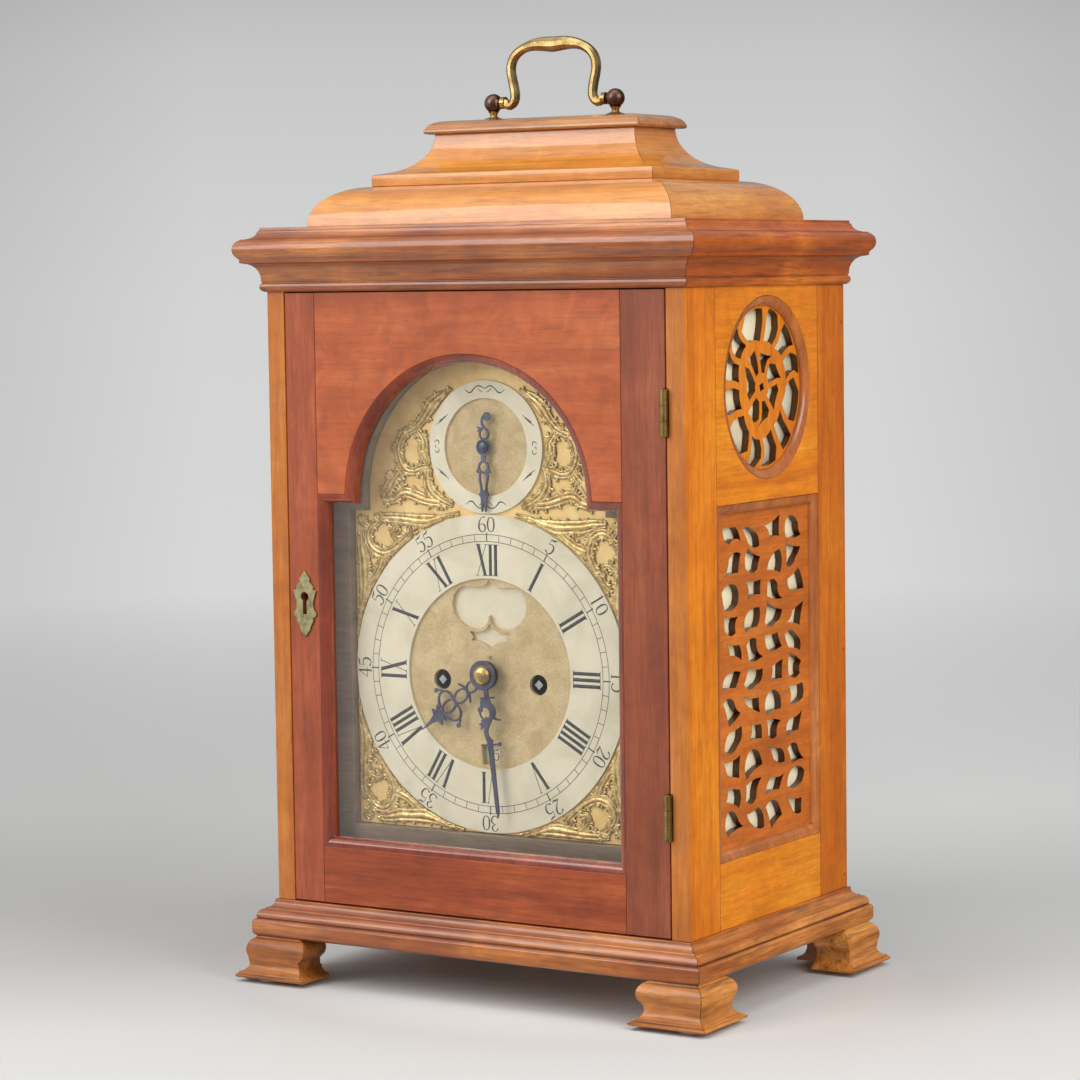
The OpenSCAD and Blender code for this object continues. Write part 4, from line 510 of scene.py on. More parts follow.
caseHalf = (135 * mm, 92 * mm)
bellHalf = (118.5 * mm, 75.5 * mm)
# the fret openings' inner walls are darkened: partly their unpolished wood, partly painted shade
fretWallsUnpolishedAndShaded = [(0, "LESS_THAN", 130.95 * mm, (0.13, 0.15, 0.45, 1))]
sideBoards = dict(board=59 * mm, boardTint=(1.06, 1.14, 1.3, 1), rearTint=(0.8, 0.7, 0.55, 1),
                  planes=[(1, "GREATER_THAN", 91.7 * mm, (0.72, 0.84, 8.0, 1))],  # the front and rear edges
                  plugs=[(88.5 * mm, z * mm, 1.5 * mm) for z in (54, 184, 371)])
hingeStile = dict(dark=rgb(118, 57, 36), middle=rgb(150, 78, 50), light=rgb(170, 96, 66))
woodCoats = {  # material, and how far the edges are rubbed in mm
    # the side tints below are painted light, standing in for the side faces' different light and sheen
    "base_moulding": (wood("moulding", "around", "baseMoulding", mitre=caseHalf,
                           sideTint=(1.3, 1.4, 1.1, 1)), 0.3),
    "base_board": (wood("inner", "x", "innerX"), 0.0),
    "bracket_feet": (wood("footWood", "around", "feetWood", mitre=caseHalf,
                          sideTint=(1.5, 1.7, 1.6, 1)), 0.4),
    "left_side": (wood("golden", "framed", "leftSideWood", offset=(0.2, 0.3, 0), **sideBoards), 0.4),
    "right_side": (wood("golden", "framed", "rightSideWood", **sideBoards), 0.4),
    "round_frets": (wood("golden", "z", "roundFretWood", offset=(0.5, 0, 0.2), planes=fretWallsUnpolishedAndShaded), 0.0),
    "panel_frets": (wood("fretWood", "y", "fretWoodY", planes=fretWallsUnpolishedAndShaded), 0.0),
    "fret_mouldings": (wood("rimWood", "z", "fretMouldingWood"), 0.0),
    "case_top": (wood("inner", "x", "innerTop", offset=(0.1, 0.2, 0)), 0.0),
    "cornice": (wood("moulding", "around", "corniceWood", mitre=caseHalf, offset=(0, 0, 0.4),
                     sideTint=(1.42, 1.14, 0.24, 1)), 0.3),
    "bell_lower": (wood("top", "around", "bellWood", mitre=bellHalf), 0.3),
    "bell_upper": (wood("top", "around", "coveWood", mitre=bellHalf, offset=(0, 0, 0.7)), 0.3),
    "cap_board": (wood("capWood", "x", "capBoardWood", offset=(0, 0.5, 0)), 0.5),
    "dial_surround": (wood("greyWoodPaintedVeil", "x", "surroundWood", offset=(0, 0.1, 0.3)), 0.3),
    "door_left_stile": (wood("stile", "z", "lockStileWood"), 0.45),
    "door_right_stile": (wood("stile", "z", "hingeStileWood", offset=(0.4, 0, 0), **hingeStile), 0.45),
    "door_arch_panel": (wood("redDoor", "x", "archPanelWood", bandScale=34), 0.4),
    "door_bottom_rail": (wood("railWood", "x", "bottomRailWood"), 0.4),
    "door_moulding": (wood("bead", "z", "glazingBead"), 0.0),
    "back_door_frame": (wood("stile", "z", "backDoorWood", offset=(0.7, 0.4, 0)), 0.45),
    "seatboard": (wood("inner", "x", "seatWood", offset=(0.5, 0.5, 0)), 0.3),
}
otherCoats = [
    (felt, 0.0, "foot_pads"),
    (postMetal, 0.0, "handle_posts"),
    (handleBrass, 0.0, "handle_bail"),
    (escutcheonBrass, 0.2, "lock_escutcheon"),
    (oldBrass, 0.15, "case_hinges door_hinges back_door_hinges"),
    (oldBrass, 0.2, "back_latch"),
    (gilt, 0.0, "dial_plate"),
    (silvered, 0.12, "chapter_ring strike_ring"),
    (silvered, 0.0, "name_plate date_ring"),
    (bluedSteel, 0.0, "hour_hand strike_hand"),
    (bluedWithCap, 0.0, "minute_hand"),
    (brightSteel, 0.0, "door_lock pallets hammer"),
    (brightSteel, 0.2, "lock_bolt"),
    (bellMetal, 0.0, "bell"),
    (pendulumMetal, 0.0, "pendulum"),
    (fuseeMetal, 0.0, "going_fusee strike_fusee"),
    (movementBrass, 0.0, "hour_wheel minute_wheel centre_wheel third_wheel escape_wheel pin_wheel"),
    (movementBrass, 0.0, "gathering_wheel going_barrel strike_barrel front_plate back_plate"),
    (glass, 0.0, "door_glass back_door_glass"),
]
for node, (material, soften) in woodCoats.items():
    dress(node, material, soften)
for material, soften, names in otherCoats:
    for node in names.split():
        dress(node, material, soften)


# Strokes: tapered bars drawn in the dial's plane, for engraving and castings

strokes = dict(unit=1 * mm, curveSteps=3, order=3, engravedSquash=0.035)


def strokePiece(name, lines, material, body, height, squash, z=dial["z"], bevelSteps=0):
    curve = bpy.data.curves.new(name + "Lines", "CURVE")
    curve.dimensions = "3D"
    curve.bevel_depth = strokes["unit"]
    curve.bevel_resolution = bevelSteps
    curve.resolution_u = strokes["curveSteps"]
    curve.use_fill_caps = True
    for line in lines:
        points, widths = line["points"], line["widths"]
        straight = line.get("straight", False)
        closed = line.get("closed", False)
        spline = curve.splines.new("POLY" if straight else "NURBS")
        spline.points.add(len(points) - 1)
        for i, (across, up) in enumerate(points):
            spline.points[i].co = (across * mm, line.get("rise", 0) * mm, up * mm, 1)
            spline.points[i].radius = widths[min(i, len(widths) - 1)] / 2
        spline.use_cyclic_u = closed
        if not straight:
            spline.order_u = min(strokes["order"], len(points))
            spline.use_endpoint_u = not closed
    holder = addObject(name + "Lines", curve)
    bpy.context.view_layer.update()
    mesh = bpy.data.meshes.new_from_object(holder.evaluated_get(bpy.context.evaluated_depsgraph_get()))
    bpy.data.objects.remove(holder)
    mesh.name = name
    mesh.transform(Matrix.Translation((dial["x"], height, z)) @ Matrix.Diagonal((1, squash, 1, 1)))
    mesh.materials.clear()
    mesh.materials.append(material)
    smoothFaces(mesh)
    piece = addObject(name, mesh)
    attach(piece, body)
    return piece


def onDial(angle, radius, u, v, inward=False):  # clock angle in degrees, u clockwise, v outward, in mm
    a = math.radians(angle)
    out, side = Vector((math.sin(a), math.cos(a))), Vector((math.cos(a), -math.sin(a)))
    if inward:
        return tuple(out * (radius - v) - side * u)
    return tuple(out * (radius + v) + side * u)


def bar(points, *widths):
    return dict(points=points, widths=widths, straight=True)


def curl(points, *widths):
    return dict(points=points, widths=widths)


def loop(points, *widths):
    return dict(points=points, widths=widths, closed=True)


print("engraving the chapter ring")
engraving = dict(line=0.36, thick=1.9, hair=0.4, romanIn=54.9, romanOut=72.0, trackOut=77.7, trackIn=73.8,
                 minuteIn=78.9, minuteOut=87.6, fiveTick=0.7, fiveReach=1.0, letterGap=1.55, serif=0.7,
                 thinSerif=0.6)
romanShapes = {"I": dict(wide=engraving["thick"]), "V": dict(wide=6.6, lean=0.3, inner=1.2),
               "X": dict(wide=6.4, lean=0.4, inner=1.3)}
digitStrokes = {  # points and widths in shares of the height
    "0": [loop([(0, 0.48), (0.2, 0.36), (0.25, 0), (0.2, -0.36), (0, -0.48), (-0.2, -0.36), (-0.25, 0),
                (-0.2, 0.36)],
               0.035, 0.085, 0.13, 0.085, 0.035, 0.085, 0.13, 0.085)],
    "1": [bar([(0, 0.5), (0, -0.5)], 0.11),
          bar([(-0.02, 0.48), (-0.16, 0.4)], 0.06, 0.03),
          bar([(-0.15, -0.49), (0.15, -0.49)], 0.035)],
    "2": [curl([(-0.22, 0.26), (-0.2, 0.42), (0, 0.5), (0.22, 0.4), (0.24, 0.2), (0.06, -0.1),
                (-0.24, -0.46)],
               0.13, 0.05, 0.05, 0.1, 0.13, 0.07, 0.04),
          curl([(-0.24, -0.45), (-0.06, -0.38), (0.12, -0.5), (0.28, -0.34)], 0.04, 0.1, 0.12, 0.03)],
    "3": [curl([(-0.2, 0.32), (-0.12, 0.48), (0.08, 0.52), (0.24, 0.34), (0.16, 0.14), (-0.04, 0.06)],
               0.12, 0.04, 0.05, 0.12, 0.07, 0.03),
          curl([(-0.04, 0.06), (0.18, 0.03), (0.3, -0.2), (0.16, -0.47), (-0.08, -0.5), (-0.25, -0.36)],
               0.03, 0.06, 0.13, 0.08, 0.04, 0.12)],
    "4": [bar([(0.12, 0.5), (-0.3, -0.18)], 0.05, 0.04),
          bar([(-0.3, -0.18), (0.3, -0.18)], 0.045),
          bar([(0.12, 0.5), (0.12, -0.5)], 0.11),
          bar([(-0.02, -0.49), (0.26, -0.49)], 0.035)],
    "5": [bar([(-0.16, 0.46), (-0.19, 0.08)], 0.04),
          curl([(-0.19, 0.08), (-0.04, 0.17), (0.2, 0.12), (0.28, -0.16), (0.14, -0.46), (-0.08, -0.5),
                (-0.25, -0.36)],
               0.03, 0.05, 0.09, 0.13, 0.08, 0.04, 0.12),
          curl([(-0.16, 0.44), (0, 0.42), (0.16, 0.48), (0.27, 0.56)], 0.05, 0.12, 0.1, 0.03)],
    "6": [curl([(0.22, 0.44), (0.08, 0.5), (-0.12, 0.34), (-0.25, 0.02), (-0.22, -0.34), (0, -0.52),
                (0.22, -0.4), (0.25, -0.12), (0.08, 0.05), (-0.12, 0), (-0.21, -0.14)],
               0.1, 0.04, 0.05, 0.11, 0.12, 0.05, 0.08, 0.13, 0.06, 0.04, 0.03)],
    "7": [curl([(-0.25, 0.38), (-0.14, 0.5), (0.05, 0.42), (0.27, 0.48)], 0.04, 0.1, 0.1, 0.04),
          curl([(0.27, 0.48), (0.06, 0.08), (-0.04, -0.5)], 0.04, 0.06, 0.12)],
    "8": [loop([(0, 0.05), (0.2, 0.2), (0.14, 0.44), (-0.06, 0.5), (-0.2, 0.36), (-0.12, 0.14)],
               0.05, 0.05, 0.09, 0.05, 0.11, 0.1),
          loop([(0, 0.05), (0.24, -0.1), (0.24, -0.4), (0, -0.5), (-0.24, -0.4), (-0.24, -0.1)],
               0.1, 0.12, 0.08, 0.04, 0.1, 0.06)],
}
digitStrokes["9"] = [dict(line, points=[(-x, -z) for x, z in line["points"]]) for line in digitStrokes["6"]]


def numberLines(text, angle, radius, tall, inward=False, gap=0.66):
    lines = []
    for k, digit in enumerate(text):
        shift = (k - (len(text) - 1) / 2) * gap * tall
        for line in digitStrokes[digit]:
            points = [onDial(angle, radius, shift + x * tall, z * tall, inward) for x, z in line["points"]]
            lines.append(dict(line, points=points, widths=[w * tall for w in line["widths"]]))
    return lines


def romanLines(text, angle):
    low, high = engraving["romanIn"], engraving["romanOut"]
    thick, hair = engraving["thick"], engraving["hair"]
    serif, thinSerif = engraving["serif"], engraving["thinSerif"]
    total = sum(romanShapes[c]["wide"] for c in text) + engraving["letterGap"] * (len(text) - 1)
    left = -total / 2
    lines = []

    def stroke(u0, v0, u1, v1, width):
        lines.append(bar([onDial(angle, 0, u0, v0), onDial(angle, 0, u1, v1)], width))

    for c in text:
        shape = romanShapes[c]
        right = left + shape["wide"]
        middle = left + shape["wide"] / 2
        if c == "I":
            stroke(middle, low, middle, high, thick)
            stroke(left - serif, high, right + serif, high, hair)
            stroke(left - serif, low, right + serif, low, hair)
        else:
            foot = middle if c == "V" else right - thick / 2
            thinFoot = middle + shape["lean"] if c == "V" else left + shape["lean"]
            stroke(left + thick / 2, high, foot, low, thick)
            stroke(right - shape["lean"], high, thinFoot, low, hair)
            stroke(left - serif, high, left + thick + serif, high, hair)
            stroke(right - shape["inner"], high, right + thinSerif, high, hair)
        if c == "X":
            stroke(left - thinSerif, low, left + shape["inner"], low, hair)
            stroke(right - thick - serif, low, right + serif, low, hair)
        left = right + engraving["letterGap"]
    return lines


def trackCircle(radius, count=96):
    ring = [onDial(360 * k / count, radius, 0, 0) for k in range(count)]
    return dict(bar(ring, engraving["line"]), closed=True)


ringMarks = [trackCircle(engraving["trackOut"]), trackCircle(engraving["trackIn"])]
for minute in range(60):
    five = minute % 5 == 0
    reach = engraving["trackOut"] + (engraving["fiveReach"] if five else 0)
    tick = [onDial(6 * minute, engraving["trackIn"], 0, 0), onDial(6 * minute, reach, 0, 0)]
    ringMarks.append(bar(tick, engraving["fiveTick"] if five else engraving["line"]))
for hour, text in enumerate(["XII", "I", "II", "III", "IIII", "V", "VI", "VII", "VIII", "IX", "X", "XI"]):
    ringMarks += romanLines(text, 30 * hour)
minuteMiddle = (engraving["minuteIn"] + engraving["minuteOut"]) / 2
for five in range(12):
    ringMarks += numberLines(str(five * 5 or 60), 30 * five, minuteMiddle,
                             engraving["minuteOut"] - engraving["minuteIn"])
strokePiece("chapterEngraving", ringMarks, wax, "case", dial["ring"], strokes["engravedSquash"])

print("engraving the strike ring")
flourish = dict(radius=32.0, corners=((62, 1), (118, -1), (242, 1), (298, -1)), leaves=4, reach=4.6,
                shorter=0.9)


def flourishLine(angle, points, *widths):  # points lie (along the ring, outward) from its middle line, in mm
    return curl([onDial(angle, flourish["radius"], u, v) for u, v in points], *widths)


strikeMarks = []
for angle, flip in flourish["corners"]:
    for k in range(flourish["leaves"]):
        reach = flourish["reach"] - flourish["shorter"] * k
        points = [(flip * (1.2 * k - reach), 1.1 * k - 2.0), (flip * 0.4 * k, 0.9 * k - 0.8),
                  (flip * (reach - 0.2 * k), 2.2 - 0.9 * k)]
        strikeMarks.append(flourishLine(angle, points, 0.25, 0.8, 0.2))
for angle in (90, 270):
    for flip in (1, -1):
        hook = [(flip * 1.0, -1.4), (flip * 3.0, -1.6), (flip * 3.8, 0.4), (flip * 2.2, 1.4)]
        strikeMarks.append(flourishLine(angle, hook, 0.3, 0.7, 0.5, 0.3))
    strikeMarks.append(flourishLine(angle, [(-0.8, 0.6), (0.9, 1.1)], 0.6, 0.4))
for angle in (0, 180):
    for flip in (1, -1):
        wave = [(0, 0), (flip * 3, 2.4), (flip * 6.6, 0.8), (flip * 9.0, -2.4), (flip * 12.0, -1.4),
                (flip * 13.2, 0)]
        strikeMarks.append(flourishLine(angle, wave, 0.3, 0.8, 0.5, 0.9, 0.4, 0.25))
        tail = [(flip * 1.2, -1.6), (flip * 3.6, -1.0), (flip * 4.4, 0.6)]
        strikeMarks.append(flourishLine(angle, tail, 0.3, 0.6, 0.3))
strokePiece("strikeEngraving", strikeMarks, wax, "case", dial["ring"], strokes["engravedSquash"],
            z=dial["strikeZ"])

print("numbering the date ring")
dates = dict(days=31, shown=5, shownAt=178.6, radius=45.7, tall=6.2, gap=0.62)
dateMarks = []
for day in range(1, dates["days"] + 1):
    angle = dates["shownAt"] - (day - dates["shown"]) * 360 / dates["days"]
    dateMarks += numberLines(str(day), angle, dates["radius"], dates["tall"], inward=True, gap=dates["gap"])
strokePiece("dateNumbers", dateMarks, wax, "date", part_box("date_ring")[0].y, strokes["engravedSquash"])

dateFrame = dict(low=-51.2, high=-39.8, lowHalf=5.8, highHalf=6.6, width=0.9, squash=0.5)
border = [(side * dateFrame[level + "Half"], dateFrame[level])
          for side, level in ((-1, "low"), (1, "low"), (1, "high"), (-1, "high"))]
strokePiece("dateFrame", [dict(bar(border, dateFrame["width"]), closed=True)], gilt, "case", dial["face"],
            dateFrame["squash"], bevelSteps=1)

print("casting the spandrels")
cast = dict(base=-69.9 * mm, squash=0.62, corner=88.2, edge=87.8, archRadius=77.6, archDrop=28.7,
            archFoot=-35.8, clear=0.5)  # clear is kept free round the silvered rings, in mm
scrollwork = dict(widen=1.34, body=0.56, bodyRise=-0.05, flute=0.38, fluteRise=-0.2)
leafwork = dict(widths=(0.75, 1, 0.85), rise=-0.6, curl=0.5, shortest=0.72, swell=0.28, belly=0.55,
                straightPart=0.6, curledPart=0.4)
tuftwork = dict(step=3.6, length=4.0, width=2.0, curl=1.4, aside=0.42, lean=1.5, opening=60)
knobwork = dict(half=0.18, crown=0.1, ends=0.6, rise=-0.5)
# scrolls: points, widths; fans: foot, first angle, sweep, leaves, length, width; knobs: place, size
ornaments = {
    "corner": dict(
        scrolls=[
            ([(18, -4), (10.5, -7.5), (7.4, -14), (10.6, -21), (19.4, -24.2), (28, -19.6), (35.2, -14),
              (39.4, -9.4)], [2.6, 4, 4.6, 4.8, 4.6, 4.2, 3.6, 2.4]),
            ([(12, -3), (21.9, -3), (30, -3.2), (39, -4), (47.4, -5), (55, -4), (62, -2.6), (70, -1.2)],
             [3, 4.4, 4.4, 5, 6.6, 4.6, 3.2, 1.4]),
            ([(3, -12), (3.4, -20), (5.4, -27), (5.2, -34), (6.2, -43), (5, -53), (3.2, -61), (1.4, -70)],
             [3, 4.6, 6, 5.2, 6.4, 5.4, 3.6, 1.4]),
            ([(32, -4), (27, -7), (24.6, -11.2), (26.4, -14.8), (30.4, -13.6)], [4, 3.2, 3.4, 3, 1.8]),
            ([(18.4, -24.6), (16.6, -30.4), (13.4, -35.6), (9.6, -40.4), (5.4, -43)], [4.6, 4, 4.4, 4, 3.4]),
            ([(2, -2), (6, -6), (11, -9)], [2, 3.6, 3])],
        fans=[
            ((39, -4), 200, 120, 5, 5.4, 2.0), ((47.4, -5), 190, 110, 5, 5.2, 2.0),
            ((55, -4), 195, 90, 4, 4.4, 1.7), ((26, -3.4), 210, 100, 4, 4.2, 1.7),
            ((5.2, -31), 330, 90, 5, 5.4, 2.0), ((6.2, -43), 300, 110, 5, 5.4, 2.0),
            ((5, -53), 300, 90, 4, 4.6, 1.8), ((3.6, -62), 290, 70, 3, 3.8, 1.4),
            ((10.6, -21), 190, 110, 5, 4.6, 1.7), ((19.4, -24.2), 240, 110, 5, 4.8, 1.8),
            ((28, -19.6), 270, 90, 4, 4.4, 1.7), ((13.4, -35.6), 290, 90, 4, 4.4, 1.6),
            ((6, -6), 100, 110, 5, 4.8, 1.8), ((35.2, -14), 290, 80, 3, 3.6, 1.4),
            ((17.5, -4.4), 20, 150, 5, 3.6, 1.5)],
        knobs=[((17.5, -4.4), 4.2), ((39.6, -9), 3.6), ((2.6, -12.4), 3.6), ((30.6, -13.4), 3.0),
               ((24.4, -11), 2.4)]),
    "arch": dict(
        scrolls=[
            ([(-21.7, 31), (-29.4, 28), (-36.2, 23), (-41, 15.6), (-47, 9.6), (-54, 8), (-59.6, -2),
              (-55.6, -12.6), (-49, -15), (-42.4, -12), (-36.4, -11)],
             [1.6, 4.6, 6, 4, 3.6, 4.6, 4.4, 4.4, 3.6, 3.8, 2.4]),
            ([(-36.8, -11.4), (-40, -18.6), (-36.6, -26), (-30.4, -30.4), (-22.6, -33)],
             [3.4, 4.8, 5, 4.8, 1.8]),
            ([(-56, -12.6), (-61.4, -18), (-66, -24.8), (-70.4, -30)], [3.8, 4.6, 5.4, 3]),
            ([(-69, -30.6), (-62.4, -31), (-56, -25.6), (-48.4, -27.4), (-40, -30.6), (-31, -31)],
             [4, 4.4, 4.6, 4.8, 4.4, 4]),
            ([(-56, -25), (-58.6, -19.6), (-56.4, -13)], [2.6, 3, 3]),
            ([(-47, 8.6), (-40.6, 4.4), (-42.6, -3.6), (-38, -10)], [3, 3.8, 6, 3.6])],
        fans=[
            ((-36.2, 23), 60, 100, 4, 4.6, 1.8), ((-47, 9.6), 80, 100, 5, 4.8, 1.8),
            ((-59.6, -2), 130, 90, 4, 4.2, 1.6), ((-62, -18), 110, 110, 6, 6.2, 1.9),
            ((-66, -25), 120, 100, 5, 5.0, 1.7), ((-56, -25.6), 60, 90, 4, 4.6, 1.7),
            ((-48.4, -27.4), 50, 100, 5, 4.8, 1.8), ((-40.6, -3), 160, 110, 5, 5.0, 1.8),
            ((-36.6, -26), 20, 100, 4, 4.2, 1.6), ((-31, -31), 40, 110, 4, 3.8, 1.5),
            ((-42.4, -12), 200, 110, 5, 4.4, 1.6)],
        knobs=[((-36.4, 23.4), 4.6), ((-22, 31), 3.0), ((-54, 7.6), 3.8), ((-42.6, -3.6), 4.6),
               ((-69.6, -30.6), 3.6)]),
}


def alongside(points, widths, share):
    out = []
    for i, p in enumerate(points):
        a, b = Vector(points[max(i - 1, 0)]), Vector(points[min(i + 1, len(points) - 1)])
        way = (b - a).normalized()
        out.append((p[0] - way.y * widths[i] * share, p[1] + way.x * widths[i] * share))
    return out


def scroll(points, widths):  # a round body with a flute along each side
    widths = [w * scrollwork["widen"] for w in widths]
    body = [w * scrollwork["body"] for w in widths]
    flute = [w * scrollwork["flute"] for w in widths]
    lines = [dict(points=points, widths=body, rise=scrollwork["bodyRise"])]
    for share in (-scrollwork["flute"], scrollwork["flute"]):
        beside = alongside(points, widths, share)
        lines.append(dict(points=beside, widths=flute, rise=scrollwork["fluteRise"]))
    return lines


def leafFan(foot, start, sweep, count, length, width, bend=leafwork["curl"]):
    lines = []
    straight, curled = leafwork["straightPart"], leafwork["curledPart"]
    for k in range(count):
        a = math.radians(start + sweep * k / (count - 1))
        swell = leafwork["swell"] * math.sin(math.pi * (k + 0.5) / count)
        reach = length * (leafwork["shortest"] + swell)
        end = a + math.copysign(bend, sweep)
        tip = (foot[0] + reach * math.cos(a) * straight + reach * curled * math.cos(end),
               foot[1] + reach * math.sin(a) * straight + reach * curled * math.sin(end))
        belly = reach * leafwork["belly"]
        middle = (foot[0] + belly * math.cos(a), foot[1] + belly * math.sin(a))
        lines.append(dict(points=[foot, middle, tip], widths=[width * w for w in leafwork["widths"]],
                          rise=leafwork["rise"]))
    return lines


def tufts(points, widths):  # small curled leaves on both sides of a scroll
    lines = []
    turn = 1
    for i in range(len(points) - 1):
        a, b = Vector(points[i]), Vector(points[i + 1])
        way = (b - a).normalized()
        count = max(1, round((b - a).length / tuftwork["step"]))
        for k in range(count):
            turn = -turn
            out = Vector((-way.y, way.x)) * turn
            foot = a + (b - a) * ((k + 0.5) / count) + out * widths[i] * tuftwork["aside"]
            leanX, leanY = out.x + way.x * tuftwork["lean"], out.y + way.y * tuftwork["lean"]
            heading = math.degrees(math.atan2(leanY, leanX))
            sweep = tuftwork["opening"] * turn
            lines += leafFan(tuple(foot), heading - sweep / 2, sweep, 2, tuftwork["length"],
                             tuftwork["width"], tuftwork["curl"])
    return lines


def ornament(kind):
    lines = []
    for points, widths in ornaments[kind]["scrolls"]:
        lines += scroll(points, widths) + tufts(points, widths)
    for fan in ornaments[kind]["fans"]:
        lines += leafFan(*fan)
    for (x, z), size in ornaments[kind]["knobs"]:
        half, ends = size * knobwork["half"], size * knobwork["ends"]
        lines.append(dict(points=[(x - half, z), (x, z + size * knobwork["crown"]), (x + half, z)],
                          widths=[ends, size, ends], rise=knobwork["rise"]))
    return lines


def insidePlate(x, z, kind):  # pulled in from the edge of the dial plate
    if kind == "corner":
        return (max(-cast["edge"], min(cast["edge"], x)), max(-cast["edge"], min(cast["edge"], z)))
    fromCentre = max(z, cast["archFoot"]) + cast["archDrop"]
    pull = min(1.0, cast["archRadius"] / math.hypot(x, fromCentre))
    return (x * pull, fromCentre * pull - cast["archDrop"])


def offRing(x, z, need, lift):  # pushed outward where it would touch the silvered ring
    push = max(1.0, need / math.hypot(x, z - lift))
    return (x * push, lift + (z - lift) * push)


def placed(lines, kind, ring, quarter=0, mirrored=False, lift=0.0):
    out = []
    for line in lines:
        need = ring / mm + cast["clear"] + max(line["widths"]) / 2
        points = []
        for x, z in line["points"]:
            x, z = insidePlate(x, z, kind)
            if mirrored:
                x = -x
            for _ in range(quarter):
                x, z = z, -x
            points.append(offRing(x, z + lift, need, lift))
        out.append(dict(line, points=points))
    return out


corner = []
for line in ornament("corner"):
    corner.append(dict(line, points=[(x - cast["corner"], z + cast["corner"]) for x, z in line["points"]]))
castLines = []
for quarter in range(4):
    castLines += placed(corner, "corner", dial["ringOut"], quarter=quarter)
lift = (dial["strikeZ"] - dial["z"]) / mm
for mirrored in (False, True):
    castLines += placed(ornament("arch"), "arch", dial["strikeOut"], mirrored=mirrored, lift=lift)
spandrels = strokePiece("spandrelCastings", castLines, casting, "case", cast["base"], cast["squash"],
                        bevelSteps=1)
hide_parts("spandrels")

print("stretching the cloth")
clothSettings = dict(ripple=0.25 * mm, waves=60, thick=0.35 * mm, rings=9, innerRings=1.5, segments=72,
                     columns=18, rows=26, roundFrom=285 * mm, discShare=0.998)


def clothPiece(name, centre, halfY, halfZ, roundCut):
    bm = bmesh.new()
    if roundCut:
        bmesh.ops.create_circle(bm, cap_ends=True, segments=clothSettings["segments"], radius=halfY)
        step = halfY / (clothSettings["rings"] + clothSettings["innerRings"])
        for k in range(clothSettings["rings"]):
            middle = [f for f in bm.faces if len(f.verts) > 4]
            bmesh.ops.inset_region(bm, faces=middle, thickness=step, use_even_offset=True)
    else:
        columns, rows = clothSettings["columns"], clothSettings["rows"]
        bmesh.ops.create_grid(bm, x_segments=columns, y_segments=rows, size=1)
        bmesh.ops.scale(bm, vec=(halfY, halfZ, 1), verts=bm.verts)
    for v in bm.verts:
        v.co.z = clothSettings["ripple"] * field.noise(v.co * clothSettings["waves"])
    upright = Matrix(((0, 0, 1, 0), (1, 0, 0, 0), (0, 1, 0, 0), (0, 0, 0, 1)))
    bmesh.ops.transform(bm, matrix=Matrix.Translation(centre) @ upright, verts=bm.verts)
    bmesh.ops.recalc_face_normals(bm, faces=bm.faces)
    mesh = bpy.data.meshes.new(name)
    bm.to_mesh(mesh)
    bm.free()
    smoothFaces(mesh)
    mesh.materials.append(cloth)
    piece = addObject(name, mesh)
    wall = piece.modifiers.new("thickness", "SOLIDIFY")
    wall.thickness = clothSettings["thick"]
    wall.offset = 0
    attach(piece, "case")
    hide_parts("fret_cloths")
    return piece


def clusters(obj):  # boxes of the parts of a node that lie apart along X and Z
    boxes = {}
    for v in obj.data.vertices:
        key = (v.co.x > 0, v.co.z > clothSettings["roundFrom"])
        low, high = boxes.get(key, (v.co.copy(), v.co.copy()))
        boxes[key] = (Vector(map(min, low, v.co)), Vector(map(max, high, v.co)))
    return boxes


for (right, upper), (low, high) in sorted(clusters(nodes["fret_cloths"]).items()):
    name = ("right" if right else "left") + ("RoundCloth" if upper else "PanelCloth")
    half = (high - low) / 2
    piece = clothPiece(name, (low + high) / 2, half.y, half.z, upper)

print("placing the camera")
shot = dict(yaw=31.98, pitch=4.53, roll=-0.77, distance=1.90237, target=(-0.0131, 0, 0.24903), lens=110.97,
            sensor=36, near=0.05, far=50)
yaw, pitch, roll = (math.radians(shot[k]) for k in ("yaw", "pitch", "roll"))
back = Vector((math.sin(yaw) * math.cos(pitch), -math.cos(yaw) * math.cos(pitch), math.sin(pitch)))
sideways = (-back).cross(Vector((0, 0, 1))).normalized()
upward = sideways.cross(-back).normalized()
rolledSide = sideways * math.cos(roll) + upward * math.sin(roll)
rolledUp = upward * math.cos(roll) - sideways * math.sin(roll)
lensData = bpy.data.cameras.new("photoCamera")
lensData.lens = shot["lens"]
lensData.sensor_width = shot["sensor"]
lensData.clip_start = shot["near"]
lensData.clip_end = shot["far"]
camera = addObject("photoCamera", lensData)
spot = Vector(shot["target"]) + back * shot["distance"]
camera.matrix_world = Matrix((*zip(rolledSide, rolledUp, back, spot), (0, 0, 0, 1)))
scene.camera = camera

